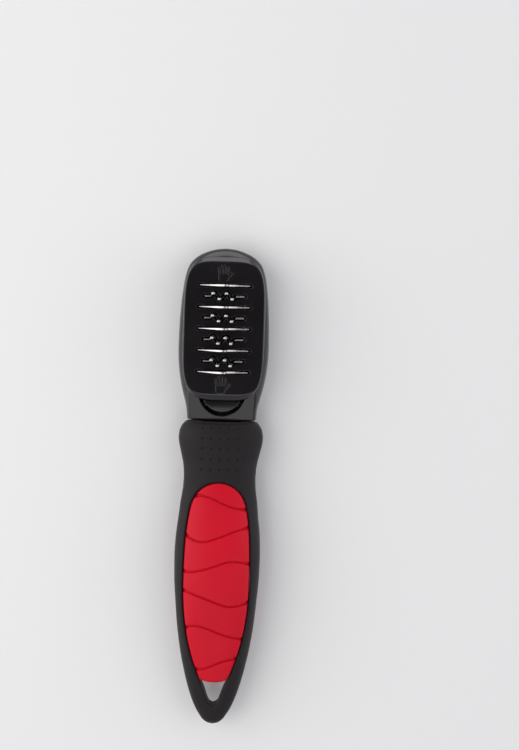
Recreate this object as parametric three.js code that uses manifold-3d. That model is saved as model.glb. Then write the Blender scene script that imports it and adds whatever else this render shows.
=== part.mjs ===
// Dematting comb: a hand tool with a reversible blade cassette held in the head of a
// soft-grip handle. Millimetres.
// +Y runs from the handle's tip to the top of the head, +Z from the back to the blade tips,
// +X to the right. The origin is the centre of the flat on the head's back, directly under
// the middle of the cassette.
import * as THREE from "three";
import { mergeVertices } from "three/addons/utils/BufferGeometryUtils.js";
import Module from "manifold-3d";

const wasm = await Module();
wasm.setup();

// ---- driving dimensions ----
const GAP = 0.3; // clearance between neighbouring pieces

// Handle
const HEAD_TOP_Y = 29.85;
const NECK_TOP_Y = -26.5; // from here down, the neck's front slopes away
const NECK_SLOPE = 0.19;
const NECK_END_Y = -34; // where the hard neck ends
const GRIP_TOP_Y = NECK_END_Y - GAP;
const TIP_Y = -147.8; // lower end of the grip
const RIM_Z = 12; // top of the cradle's rim and of the neck
const FRAME_BOTTOM_Z = 4.5; // where the head frame meets the back cover
const MID_Z = 9.7; // parting plane of the two grip pads

// Cassette
const FLANGE_HALF_X = 15.3;
const FLANGE_HALF_Y = 26.8;
const FACE_Z = 16; // outer face of the cassette
const BODY_HALF_X = 13.4; // the body below the flange
const BODY_HALF_Y = 22;
const BAR_Y = 25.4; // axis of the cassette's end bars
const BAR_Z = 9.4;
const BAR_R = 0.9;

// Blades, hooked and toothed in turn
const BLADE_PITCH = 4;
const HOOKED_YS = [4, 2, 0, -2, -4].map((steps) => steps * BLADE_PITCH);
const TOOTHED_YS = [3, 1, -1, -3].map((steps) => steps * BLADE_PITCH);
const BLADE_T = 0.8;
const SHOULDER_Z = 17;
const ROD_X = 7.8; // the two rods that the blades are threaded on
const ROD_Z = 10.6;
const ROD_R = 1.1;

// Screws: [name, x, y]
const COVER_SCREWS = [
  ["top", 0, 24.85],
  ["left", -8.6, -24.95],
  ["right", 8.6, -24.95],
];
const CASSETTE_SCREWS = [
  ["upper_left", -9.6, 19.4],
  ["upper_right", 9.6, 19.4],
  ["lower_left", -9.6, -19.4],
  ["lower_right", 9.6, -19.4],
];
const SHANK_HOLE = { radius: 1.15, segments: 14 };
const HEAD_HOLE = { radius: 2.0, segments: 18 };

// ---- solids ----
// Outlines are lists of pairs, and ranges are [low, high].
function solid(geometry) {
  const loose = geometry.index ? geometry.toNonIndexed() : geometry;
  const bare = new THREE.BufferGeometry();
  bare.setAttribute("position", loose.getAttribute("position"));
  const merged = mergeVertices(bare, 1e-4);
  return new wasm.Manifold(
    new wasm.Mesh({
      numProp: 3,
      vertProperties: merged.attributes.position.array,
      triVerts: new Uint32Array(merged.index.array),
    }),
  );
}

function geometryOf(body) {
  const mesh = body.getMesh();
  const geometry = new THREE.BufferGeometry()
    .setAttribute("position", new THREE.BufferAttribute(mesh.vertProperties, 3))
    .setIndex(new THREE.BufferAttribute(mesh.triVerts, 1));
  geometry.computeVertexNormals();
  return geometry;
}

// A closed body through rings of [x, y, z] points, each ring with the same number of points.
function loft(rings) {
  const count = rings[0].length;
  const points = rings.flat();
  const index = [];
  for (let r = 0; r + 1 < rings.length; r++)
    for (let i = 0; i < count; i++) {
      const here = r * count + i;
      const next = r * count + ((i + 1) % count);
      index.push(here, next, next + count, here, next + count, here + count);
    }

  // Each end is closed by a fan round its centre.
  const centreOf = (ring) =>
    [0, 1, 2].map((axis) => ring.reduce((sum, point) => sum + point[axis], 0) / count);
  const firstCentre = points.length;
  const lastRing = firstCentre - count;
  points.push(centreOf(rings[0]), centreOf(rings.at(-1)));
  for (let i = 0; i < count; i++) {
    index.push(firstCentre, (i + 1) % count, i);
    index.push(firstCentre + 1, lastRing + i, lastRing + ((i + 1) % count));
  }

  // Turn every face round if the rings ran the other way.
  const corner = (i) => new THREE.Vector3(...points[index[i]]);
  let volume = 0;
  for (let i = 0; i < index.length; i += 3)
    volume += corner(i).dot(corner(i + 1).cross(corner(i + 2))) / 6;
  if (volume < 0) index.reverse();

  return solid(
    new THREE.BufferGeometry()
      .setAttribute("position", new THREE.Float32BufferAttribute(points.flat(), 3))
      .setIndex(index),
  );
}

function box([x0, x1], [y0, y1], [z0, z1]) {
  const geometry = new THREE.BoxGeometry(x1 - x0, y1 - y0, z1 - z0);
  geometry.translate((x0 + x1) / 2, (y0 + y1) / 2, (z0 + z1) / 2);
  return solid(geometry);
}

// A box across the middle of the comb.
const centredBox = ({ halfX, y, z }) => box([-halfX, halfX], y, z);

// An X range on the right for sign 1, or its mirror image for sign -1.
const onSide = (sign, [near, far]) => (sign > 0 ? [near, far] : [-far, -near]);

// A cylinder along Z.
function cylinder([x, y], radius, [z0, z1], segments, topRadius = radius) {
  const geometry = new THREE.CylinderGeometry(topRadius, radius, z1 - z0, segments);
  geometry.rotateX(Math.PI / 2);
  geometry.translate(x, y, (z0 + z1) / 2);
  return solid(geometry);
}

function cylinderAlongY([x, z], radius, halfLength) {
  const geometry = new THREE.CylinderGeometry(radius, radius, 2 * halfLength, 16);
  geometry.translate(x, 0, z);
  return solid(geometry);
}

function cylinderAlongX([y, z], radius, halfLength) {
  const geometry = new THREE.CylinderGeometry(radius, radius, 2 * halfLength, 20);
  geometry.rotateZ(Math.PI / 2);
  geometry.translate(0, y, z);
  return solid(geometry);
}

function extrusion(outline, depth) {
  const shape = new THREE.Shape(outline.map(([u, v]) => new THREE.Vector2(u, v)));
  return new THREE.ExtrudeGeometry(shape, { depth, bevelEnabled: false });
}

// An outline in plan, extruded along Z.
function slab(outline, [z0, z1]) {
  const geometry = extrusion(outline, z1 - z0);
  geometry.translate(0, 0, z0);
  return solid(geometry);
}

// An outline in the Y-Z plane, extruded along X, centred on x = 0.
function sidePlate(outline, halfX) {
  const geometry = extrusion(outline, 2 * halfX);
  geometry.applyMatrix4(
    new THREE.Matrix4().set(0, 0, 1, -halfX, 1, 0, 0, 0, 0, 1, 0, 0, 0, 0, 0, 1),
  );
  return solid(geometry);
}

// An outline in the X-Z plane, extruded along Y, centred on y = 0.
function crossPlate(outline, thickness) {
  const geometry = extrusion(outline, thickness);
  geometry.applyMatrix4(
    new THREE.Matrix4().set(1, 0, 0, 0, 0, 0, -1, thickness / 2, 0, 1, 0, 0, 0, 0, 0, 1),
  );
  return solid(geometry);
}

function superellipse(halfX, halfY, power, count) {
  const along = (half, ratio) => half * Math.sign(ratio) * Math.abs(ratio) ** (2 / power);
  return Array.from({ length: count }, (_, i) => {
    const angle = (2 * Math.PI * i) / count;
    return [along(halfX, Math.cos(angle)), along(halfY, Math.sin(angle))];
  });
}

// Levels are [z, half width, half length].
function superLoft(levels, power, count) {
  return loft(
    levels.map(([z, halfX, halfY]) =>
      superellipse(halfX, halfY, power, count).map(([x, y]) => [x, y, z]),
    ),
  );
}

// Monotone cubic interpolation through rows of [y, value], y falling.
function interpolate(rows) {
  const xs = rows.map((row) => -row[0]);
  const values = rows.map((row) => row[1]);
  const last = rows.length - 1;
  const steps = [];
  const slopes = [];
  for (let i = 0; i < last; i++) {
    steps.push(xs[i + 1] - xs[i]);
    slopes.push((values[i + 1] - values[i]) / steps[i]);
  }
  const tangents = new Array(rows.length).fill(0);
  tangents[0] = slopes[0];
  tangents[last] = slopes[last - 1];
  for (let i = 1; i < last; i++)
    if (slopes[i - 1] * slopes[i] > 0) {
      const before = 2 * steps[i] + steps[i - 1];
      const after = steps[i] + 2 * steps[i - 1];
      tangents[i] = (before + after) / (before / slopes[i - 1] + after / slopes[i]);
    }
  return (y) => {
    const x = Math.min(Math.max(-y, xs[0]), xs[last]);
    let i = 0;
    while (i < last - 1 && x > xs[i + 1]) i++;
    const t = (x - xs[i]) / steps[i];
    return (
      values[i] * (1 + 2 * t) * (1 - t) ** 2 +
      steps[i] * tangents[i] * t * (1 - t) ** 2 +
      values[i + 1] * t * t * (3 - 2 * t) +
      steps[i] * tangents[i + 1] * t * t * (t - 1)
    );
  };
}

// Outline of a bar from start to end with round ends, moved by y.
function roundedBar(start, end, y, radius, steps) {
  const direction = Math.atan2(end[1] - start[1], end[0] - start[0]);
  const outline = [];
  for (const [centre, turn] of [[end, -0.5], [start, 0.5]])
    for (let i = 0; i <= steps; i++) {
      const angle = direction + Math.PI * (turn + i / steps);
      outline.push([
        centre[0] + radius * Math.cos(angle),
        centre[1] + y + radius * Math.sin(angle),
      ]);
    }
  return outline;
}

// Outline of a bent sheet that follows a path of points.
function bentSheet(path, thickness) {
  const left = [];
  const right = [];
  path.forEach(([u, v], i) => {
    const before = path[Math.max(i - 1, 0)];
    const after = path[Math.min(i + 1, path.length - 1)];
    const du = after[0] - before[0];
    const dv = after[1] - before[1];
    const scale = thickness / 2 / Math.hypot(du, dv);
    left.push([u - dv * scale, v + du * scale]);
    right.push([u + dv * scale, v - du * scale]);
  });
  return left.concat(right.reverse());
}

function drill(body, screws, { radius, segments }, z) {
  for (const [, x, y] of screws) body = body.subtract(cylinder([x, y], radius, z, segments));
  return body;
}

// ---- the grip's outer form ----
// [y, half width]
const gripWidth = interpolate([
  [GRIP_TOP_Y, 12.7], [-35, 13.45], [-36.4, 14.65], [-38.6, 15.55], [-40.9, 15.75],
  [-43.1, 15.5], [-45.3, 15.0], [-47.6, 14.45], [-49.8, 13.95], [-52.1, 13.6], [-55.4, 13.4],
  [-58.8, 13.5], [-61, 13.75], [-65.5, 14.4], [-70, 14.85], [-74.4, 15.4], [-78.9, 15.75],
  [-84.5, 15.95], [-92.4, 15.8], [-101.3, 15.15], [-110.3, 14.3], [-119.2, 13.0],
  [-128.2, 11.1], [-137.1, 8.5], [-141.6, 6.6], [-143.8, 5.3], [-146.1, 3.6], [-147.2, 2.1],
  [TIP_Y, 0.5],
]);
// [y, z of the front]
const gripFront = interpolate([
  [GRIP_TOP_Y, 13.1], [-35, 14.2], [-36.4, 15.2], [-38.6, 15.8], [-41, 16.0], [-45, 15.7],
  [-50, 15.3], [-56, 15.3], [-63, 16.2], [-72, 17.8], [-80, 18.8], [-88, 19.2], [-98, 18.9],
  [-106, 18.2], [-115, 17.0], [-124, 15.5], [-132, 14.0], [-140, 12.4], [-144, 11.4],
  [-146.5, 10.2], [TIP_Y, 8.4],
]);
// [y, z of the back]
const gripBack = interpolate([
  [GRIP_TOP_Y, 1.4], [-35, 1.0], [-36.4, 0.6], [-38.6, 0.4], [-41, 0.4], [-45, 0.6],
  [-50, 0.9], [-56, 1.0], [-63, 0.8], [-72, 0.3], [-80, -0.15], [-88, -0.35], [-98, -0.35],
  [-106, -0.05], [-115, 0.8], [-124, 1.8], [-132, 2.9], [-140, 4.1], [-144, 5.0],
  [-146.5, 6.2], [TIP_Y, 7.8],
]);
// Where the grip's cross sections stand
const GRIP_YS = [
  GRIP_TOP_Y, -35, -36.4, -38.8, -42, -46, -51, -56, -62, -68, -74, -80, -87, -94, -101,
  -108, -115, -121, -127, -132, -137, -141, -144, -146.2, -147.4, TIP_Y,
];
const DIMPLED_YS = GRIP_YS.filter((y) => y > -60);
const PAD_YS = GRIP_YS.filter((y) => y < -51 && y > -141);
const MIN_GRIP_HALF = 0.2;

function gripRing(y, inset) {
  const halfX = Math.max(gripWidth(y) - inset, MIN_GRIP_HALF);
  const front = gripFront(y) - inset;
  const back = gripBack(y) + inset;
  const halfZ = Math.max((front - back) / 2, MIN_GRIP_HALF);
  const middle = (front + back) / 2;
  return superellipse(halfX, halfZ, 2.4, 36).map(([x, z]) => [x, y, middle + z]);
}

// The back is flattened where it rests.
function gripBody(inset, ys) {
  const form = loft(ys.map((y) => gripRing(y, inset)));
  return form.intersect(centredBox({ halfX: 30, y: [-200, 0], z: [0, 40] }));
}

// The opening in the grip: the pads fill it down to PAD_END_Y, and the rest is the hanging hole.
const PAD_END_Y = -131.3;
const OPENING_TOP_Y = -57;
const OPENING_END_Y = -140.2;
const OPENING_STEPS = 30;
// [y, half width]
const openingHalf = interpolate([
  [OPENING_TOP_Y, 0.1], [-57.4, 2.6], [-58.6, 5.4], [-60.2, 7.4], [-62.4, 9.0], [-65, 10.1],
  [-68, 10.8], [-72, 11.4], [-77, 11.9], [-83, 12.2], [-90, 12.35], [-97, 12.3],
  [-104, 11.9], [-111, 11.0], [-117, 9.8], [-122, 8.4], [-126, 7.0], [PAD_END_Y, 4.9],
  [-135, 3.3], [-138, 2.2], [-139.5, 1.4], [OPENING_END_Y, 0.1],
]);

function openingOutline(inset) {
  const reach = 0.2; // how far to either side the slope is taken
  const right = [[0, OPENING_TOP_Y - inset]];
  for (let i = 1; i < OPENING_STEPS; i++) {
    const t = 0.5 - 0.5 * Math.cos((Math.PI * i) / OPENING_STEPS);
    const y = OPENING_TOP_Y + (OPENING_END_Y - OPENING_TOP_Y) * t;
    const above = openingHalf(Math.min(y + reach, OPENING_TOP_Y));
    const below = openingHalf(Math.max(y - reach, OPENING_END_Y));
    const slope = (above - below) / (2 * reach);
    const length = Math.hypot(1, slope);
    right.push([
      Math.max(openingHalf(y) - inset / length, 0.02),
      y + (inset * slope) / length,
    ]);
  }
  right.push([0, OPENING_END_Y + inset]);
  const left = right.slice(1, -1).reverse().map(([x, y]) => [-x, y]);
  return right.concat(left);
}

// ---- the head's outer form ----
// Right half of the plan, from the top down: [x, y, how far the rim stands inside]
const HEAD_RIGHT = [
  [0, HEAD_TOP_Y, 4.2], [3.6, 29.5, 3.9], [6.7, 28.6, 3.3], [9.7, 27.25, 2.6],
  [12.0, 25.5, 2.05], [13.4, 23.8, 1.65], [14.3, 21.8, 1.35], [14.95, 19.5, 1.1],
  [15.4, 17.2, 0.95], [15.8, 14.2, 0.95], [16.2, 10.6, 1.0], [16.5, 6.2, 1.1],
  [16.75, 1.7, 1.2], [16.85, -2.8, 1.3], [16.85, -9.5, 1.35], [16.55, -14, 1.4],
  [15.95, -18.5, 1.5], [15.05, -22.9, 1.6], [13.75, -27.8, 1.3], [13.2, -30.5, 1.1],
  [12.85, NECK_END_Y, 1.0],
];
const HEAD_STEPS = 26;
const headCurve = new THREE.CatmullRomCurve3(
  HEAD_RIGHT.map((point) => new THREE.Vector3(...point)),
  false,
  "centripetal",
);

// The plan drawn in by a share of the rim's inset and by an even inset.
function headOutline(rimShare, inset) {
  const right = [];
  for (let i = 0; i <= HEAD_STEPS; i++) {
    const point = headCurve.getPoint(i / HEAD_STEPS);
    const tangent = headCurve.getTangent(i / HEAD_STEPS);
    const length = Math.hypot(tangent.x, tangent.y);
    let outward = [-tangent.y / length, tangent.x / length];
    if (i === 0) outward = [0, 1];
    if (i === HEAD_STEPS) outward = [1, 0];
    const distance = rimShare * point.z + inset;
    right.push([
      Math.max(point.x - outward[0] * distance, 0),
      point.y - outward[1] * distance,
    ]);
  }
  right[HEAD_STEPS][1] = NECK_END_Y;
  const left = right.slice(1).reverse().map(([x, y]) => [-x, y]);
  return right.concat(left);
}

// Levels are [z, share of the rim's inset, even inset].
function headLoft(levels) {
  return loft(
    levels.map(([z, rimShare, inset]) =>
      headOutline(rimShare, inset).map(([x, y]) => [x, y, z]),
    ),
  );
}

// What lies above the neck's sloping front, raised to height z at its top end.
function aboveNeck(z) {
  const endY = -45;
  const topZ = 20;
  return sidePlate(
    [
      [NECK_TOP_Y, z],
      [NECK_TOP_Y, topZ],
      [endY, topZ],
      [endY, z - (NECK_TOP_Y - endY) * NECK_SLOPE],
    ],
    20,
  );
}

// The part below cutY of a disc round the button's centre.
const BUTTON_CENTRE_Y = -23.7;
function halfMoon(radius, cutY, steps) {
  const halfAngle = Math.acos((BUTTON_CENTRE_Y - cutY) / radius);
  return Array.from({ length: steps + 1 }, (_, i) => {
    const angle = -Math.PI / 2 - halfAngle + (2 * halfAngle * i) / steps;
    return [radius * Math.cos(angle), BUTTON_CENTRE_Y + radius * Math.sin(angle)];
  });
}

// ---- head frame: cradle, neck and the tang inside the grip ----
const PLUG_BOTTOM_Z = 2.4; // underside of the frame's plug inside the cover
const PLUG_INSET = 2.6;
const PLUG_CUT = { halfX: 20, y: [-40, -32.8], z: [0, FRAME_BOTTOM_Z] };
const UPPER_TANG = { halfX: 7, y: [-62, NECK_END_Y + 0.5], z: [5.2, 10.2] };
const LOWER_TANG = { halfX: 6.5, y: [-123, -61], z: [7.7, 11.7] };
const POCKET_HALF_X = 13.8;
const POCKET_HALF_Y = 23.4;
const POCKET_FLOOR_Z = 5;
const CHANNEL_HALF_X = 4.6;
const CHANNEL_Z = 7.4;
// [y, z], undercut to hold the bar
const TOP_CHANNEL = [
  [20, CHANNEL_Z], [26.7, CHANNEL_Z], [26.7, 10.4], [26.4, 10.65], [24.9, 10.65],
  [24.9, 14], [20, 14],
];
const BOTTOM_CHANNEL = { halfX: CHANNEL_HALF_X, y: [-29.2, -20], z: [CHANNEL_Z, 14] };
const LATCH_CAVITY = { halfX: 8.7, y: [-31, -26.6], z: [0, 10.3] }; // open at the back
const LATCH_RECESS = { halfX: 8.7, y: [-32.2, -30.9], z: [5.6, 9.4] };
const SPRING_FOOT_SLOT = { halfX: 4, y: [-33, -30.9], z: [0, 4.4] };
const WINDOW_R = 8.75;
const WINDOW_CUT_Y = -26.3;

function makeHeadFrame() {
  const plug = headLoft([
    [PLUG_BOTTOM_Z, 0, PLUG_INSET],
    [FRAME_BOTTOM_Z + 0.5, 0, PLUG_INSET],
  ]).subtract(centredBox(PLUG_CUT));
  const pocket = superLoft(
    [POCKET_FLOOR_Z, 20].map((z) => [z, POCKET_HALF_X, POCKET_HALF_Y]),
    6,
    48,
  );
  const frame = headLoft([
    [FRAME_BOTTOM_Z, 0, 1.0],
    [5.6, 0, 0.42],
    [7.6, 0, 0],
    [9.6, 0.13, 0],
    [11.0, 0.52, 0],
    [RIM_Z, 1, 0],
  ])
    .add(plug)
    .subtract(aboveNeck(RIM_Z))
    .add(centredBox(UPPER_TANG))
    .add(centredBox(LOWER_TANG))
    .subtract(pocket)
    .subtract(sidePlate(TOP_CHANNEL, CHANNEL_HALF_X))
    .subtract(centredBox(BOTTOM_CHANNEL))
    .subtract(centredBox(LATCH_CAVITY))
    .subtract(centredBox(LATCH_RECESS))
    .subtract(centredBox(SPRING_FOOT_SLOT))
    .subtract(slab(halfMoon(WINDOW_R, WINDOW_CUT_Y, 28), [9.2, 14]));
  return drill(frame, COVER_SCREWS, SHANK_HOLE, [0, 7.1]);
}

// ---- back cover ----
const HOLLOW_FLOOR_Z = 2.0;
const HOLLOW_INSET = 2.2;
const COVER_END_WALL = { halfX: 20, y: [-40, -33.1], z: [0, 10] };
const SPRING_FOOT_PAD = { halfX: 3.6, y: [-32.4, -31.2], z: [1.9, 3.35] }; // under the foot

function makeBackCover() {
  const hollow = headLoft([
    [HOLLOW_FLOOR_Z, 0, HOLLOW_INSET],
    [6, 0, HOLLOW_INSET],
  ]).subtract(centredBox(COVER_END_WALL));
  const cover = headLoft([
    [0, 0, 3.2],
    [0.6, 0, 2.25],
    [1.8, 0, 1.4],
    [FRAME_BOTTOM_Z - GAP, 0, 1.0],
  ])
    .subtract(hollow)
    .add(centredBox(SPRING_FOOT_PAD));
  const drilled = drill(cover, COVER_SCREWS, SHANK_HOLE, [-1, 3]);
  return drill(drilled, COVER_SCREWS, HEAD_HOLE, [-1, 1.4]);
}

// ---- screws: head down, shank up, with a cross slot in the head ----
const SCREW_HEAD_R = 1.7;
const SCREW_HEAD_T = 0.8;
const SCREW_TIP_R = 0.25;
const SCREW_TIP_LENGTH = 0.6;

function makeScrew({ shankR, length }) {
  const centre = [0, 0];
  const end = SCREW_HEAD_T + length;
  const slotLong = [-SCREW_HEAD_R * 0.62, SCREW_HEAD_R * 0.62];
  const slotWide = [-0.22, 0.22];
  const slotZ = [-1, SCREW_HEAD_T * 0.5];
  return cylinder(centre, SCREW_HEAD_R, [0, SCREW_HEAD_T], 18)
    .add(cylinder(centre, shankR, [SCREW_HEAD_T - 0.2, end], 12))
    .add(cylinder(centre, shankR, [end - 0.01, end + SCREW_TIP_LENGTH], 12, SCREW_TIP_R))
    .subtract(box(slotLong, slotWide, slotZ))
    .subtract(box(slotWide, slotLong, slotZ));
}

// ---- grip sleeve ----
const DIMPLE_XS = [-6.5, -3.25, 0, 3.25, 6.5];
const DIMPLE_YS = [-36.9, -40.7, -44.5, -48.4, -52.3];
const DIMPLE_R = 0.45;
const DIMPLE_DEPTH = 0.4;

// Room round a part of the tang.
function tangRoom({ halfX, z }, clearance, y) {
  return centredBox({
    halfX: halfX + clearance,
    y,
    z: [z[0] - clearance, z[1] + clearance],
  });
}

function makeGripSleeve() {
  let sleeve = gripBody(0, GRIP_YS).subtract(slab(openingOutline(0), [-5, 30]));
  const core = gripBody(DIMPLE_DEPTH, DIMPLED_YS);
  for (const y of DIMPLE_YS)
    for (const x of DIMPLE_XS)
      for (const z of [[12, 20], [-3, 4]])
        sleeve = sleeve.subtract(cylinder([x, y], DIMPLE_R, z, 6).subtract(core));
  return sleeve.subtract(tangRoom(UPPER_TANG, 0.3, [-70, -30]));
}

// ---- grip pads ----
const PAD_INSET = 0.25;
const PAD_END_R = 90; // the lower end is slightly bowed
const PAD_TANG_CLEARANCE = 0.4;
const WAVE_HALF_WIDTH = 0.4;
const WAVE_DEPTH = 0.55;
const WAVE_STEPS = 14;
// Centre lines of the wavy grooves across the pads: [x, y]
const WAVES = [
  [
    [-11.42, -62.7], [-6.54, -61.95], [-2.63, -62.87], [1.95, -64.86], [5.38, -66.1],
    [13.02, -67.01],
  ],
  [
    [-14.28, -74.58], [-8.96, -78.11], [-5.54, -78.79], [-2.17, -78.01], [2.3, -76.38],
    [6.76, -74.57], [13.77, -72.56],
  ],
  [
    [-14.99, -89.4], [-9.71, -90], [-5.23, -89.08], [-0.75, -87.56], [3.71, -85.97],
    [7.1, -85.76], [10.52, -86.32], [15.35, -87.4],
  ],
  [
    [-14.88, -95.95], [-9.48, -97.69], [-4.92, -99.23], [-0.35, -100.8], [4.21, -102.23],
    [7.6, -102.13], [9.87, -101.61], [14.94, -99.28],
  ],
  [
    [-13.54, -112.58], [-9.1, -110.22], [-5.74, -110], [-2.32, -110.94], [2.29, -112.71],
    [6.85, -114.02], [13.15, -115.43],
  ],
  [
    [-9.99, -125.87], [-5.54, -126.46], [-3.05, -125.9], [0.67, -124.29], [4.35, -122.8],
    [11.31, -121.5],
  ],
];

// Outline of a groove: a strip of even width along a curve through the points.
function grooveOutline(points) {
  const curve = new THREE.CatmullRomCurve3(
    points.map(([x, y]) => new THREE.Vector3(x, y, 0)),
    false,
    "centripetal",
  );
  const upper = [];
  const lower = [];
  for (let i = 0; i <= WAVE_STEPS; i++) {
    const point = curve.getPoint(i / WAVE_STEPS);
    const across = curve.getTangent(i / WAVE_STEPS).multiplyScalar(WAVE_HALF_WIDTH);
    upper.push([point.x - across.y, point.y + across.x]);
    lower.push([point.x + across.y, point.y - across.x]);
  }
  return upper.concat(lower.reverse());
}

function makePad({ padZ, grooveZ }) {
  let pad = gripBody(PAD_INSET, PAD_YS)
    .intersect(slab(openingOutline(GAP), [-5, 30]))
    .intersect(cylinder([0, PAD_END_Y + PAD_END_R], PAD_END_R, [-5, 30], 180))
    .intersect(centredBox({ halfX: 30, y: [-200, 0], z: padZ }));
  const core = gripBody(PAD_INSET + WAVE_DEPTH, PAD_YS);
  for (const wave of WAVES)
    pad = pad.subtract(slab(grooveOutline(wave), grooveZ).subtract(core));
  for (const [tang, topY] of [[UPPER_TANG, -30], [LOWER_TANG, -55]]) {
    const y = [tang.y[0] - PAD_TANG_CLEARANCE, topY];
    pad = pad.subtract(tangRoom(tang, PAD_TANG_CLEARANCE, y));
  }
  return pad;
}
const makeFrontPad = () => makePad({ padZ: [MID_Z + GAP / 2, 40], grooveZ: [12, 25] });
const makeRearPad = () => makePad({ padZ: [-10, MID_Z - GAP / 2], grooveZ: [-5, 4] });

// ---- blades ----
const HOOKED_HALF_X = 9.35;
const TOOTHED_HALF_X = 7.3;
const FOOT_HALF_X = 11.5;
const FOOT_BOTTOM_Z = 7.9;
const FOOT_TOP_Z = 13.45;
const TOOTH_XS = [-3.85, -1.6, 0.95, 3.0];
const TOOTH_R = 0.62; // half width of a tooth and radius of its tip
const TOOTH_SET = 1.03; // how far a tooth is set out of the blade's plane
const TOOTH_TOP_Z = 34;
// Outline of a hooked blade above its foot, [x, z]: a hollow cutting edge on the right,
// a blunt tip, and a rounded back on the left.
const HOOK_EDGE = [
  [HOOKED_HALF_X, SHOULDER_Z], [7.6, 17.05], [6.0, 17.15], [4.6, 17.35], [3.3, 17.7],
  [2.2, 18.25], [1.4, 19.0], [0.95, 19.9], [0.85, 20.9], [1.05, 21.8], [1.3, 22.5],
  [1.25, 23.1], [0.85, 23.5], [0.3, 23.6], [-0.5, 23.45], [-1.6, 22.9], [-3.0, 21.9],
  [-4.4, 20.7], [-5.8, 19.5], [-7.2, 18.3], [-8.4, 17.4], [-HOOKED_HALF_X, SHOULDER_Z],
];
// Plan of a toothed blade's middle, [x, y]: the sheet is pressed into waves so that its
// teeth stand alternately to either side of its plane.
const TOOTH_WAVE = [
  [-5.7, 0], [-5.0, 0.08], [-4.5, 0.62],
  ...TOOTH_XS.flatMap((x, i) => {
    const y = i % 2 ? -TOOTH_SET : TOOTH_SET;
    return [[x - 0.5, 0.93 * y], [x, y], [x + 0.5, 0.93 * y]];
  }),
  [3.85, -0.5], [4.3, -0.06], [4.95, 0],
];

function footOutline(bladeHalfX) {
  return [
    [-bladeHalfX, FOOT_TOP_Z], [-FOOT_HALF_X, FOOT_TOP_Z],
    [-FOOT_HALF_X, FOOT_BOTTOM_Z], [FOOT_HALF_X, FOOT_BOTTOM_Z],
    [FOOT_HALF_X, FOOT_TOP_Z], [bladeHalfX, FOOT_TOP_Z],
  ];
}

function cutRodHoles(body, halfLength) {
  for (const x of [-ROD_X, ROD_X])
    body = body.subtract(cylinderAlongY([x, ROD_Z], ROD_R + GAP, halfLength));
  return body;
}

function makeHookedBlade() {
  const outline = footOutline(HOOKED_HALF_X).concat(HOOK_EDGE);
  return cutRodHoles(crossPlate(outline, BLADE_T), 2);
}

function toothOutline(x) {
  const rootZ = SHOULDER_Z - 1;
  const outline = [[x - TOOTH_R, rootZ], [x + TOOTH_R, rootZ]];
  for (let i = 0; i <= 6; i++) {
    const angle = (Math.PI * i) / 6;
    outline.push([
      x + TOOTH_R * Math.cos(angle),
      TOOTH_TOP_Z - TOOTH_R + TOOTH_R * Math.sin(angle),
    ]);
  }
  return outline;
}

// The waved sheet, cut to the blade's profile.
function makeToothedBlade() {
  const path = [
    [-FOOT_HALF_X, 0], [-8.5, 0], ...TOOTH_WAVE, [8, 0], [FOOT_HALF_X, 0],
  ];
  const sheet = slab(bentSheet(path, BLADE_T), [7, 36]);
  const profileDepth = 6;
  let profile = crossPlate(
    footOutline(TOOTHED_HALF_X).concat([
      [TOOTHED_HALF_X, SHOULDER_Z],
      [-TOOTHED_HALF_X, SHOULDER_Z],
    ]),
    profileDepth,
  );
  for (const x of TOOTH_XS) profile = profile.add(crossPlate(toothOutline(x), profileDepth));
  return cutRodHoles(sheet.intersect(profile), 2);
}

const makeRod = () => cylinderAlongY([0, ROD_Z], ROD_R, 17.8);

// ---- cassette face ----
const BAR_HALF_X = 4.2;
const TONGUE_ROOT_Y = 20;
const TONGUE_HALF_T = 0.6;
const CHAMBER = { halfX: 11.9, y: [-17.2, 17.2], z: [0, 13.8] };
const RIB_X = [10.3, 12.5];
const RIB_HALF_Y = 1.3;
const SLOT_Z = [13, 17];
const HOOKED_SLOT_HALF_X = 10.25;
const HOOKED_SLOT_R = 0.7;
const TOOTHED_SLOT_HALF_X = 8.3;
const TOOTHED_SLOT_R = 0.85;

// Blade chamber with locating ribs midway between the blades.
function makeChamber() {
  let chamber = centredBox(CHAMBER);
  for (const bladeY of TOOTHED_YS)
    for (const y of [bladeY - BLADE_PITCH / 2, bladeY + BLADE_PITCH / 2])
      for (const sign of [-1, 1])
        chamber = chamber.subtract(
          box(onSide(sign, RIB_X), [y - RIB_HALF_Y, y + RIB_HALF_Y], [-1, 20]),
        );
  return chamber;
}

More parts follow.
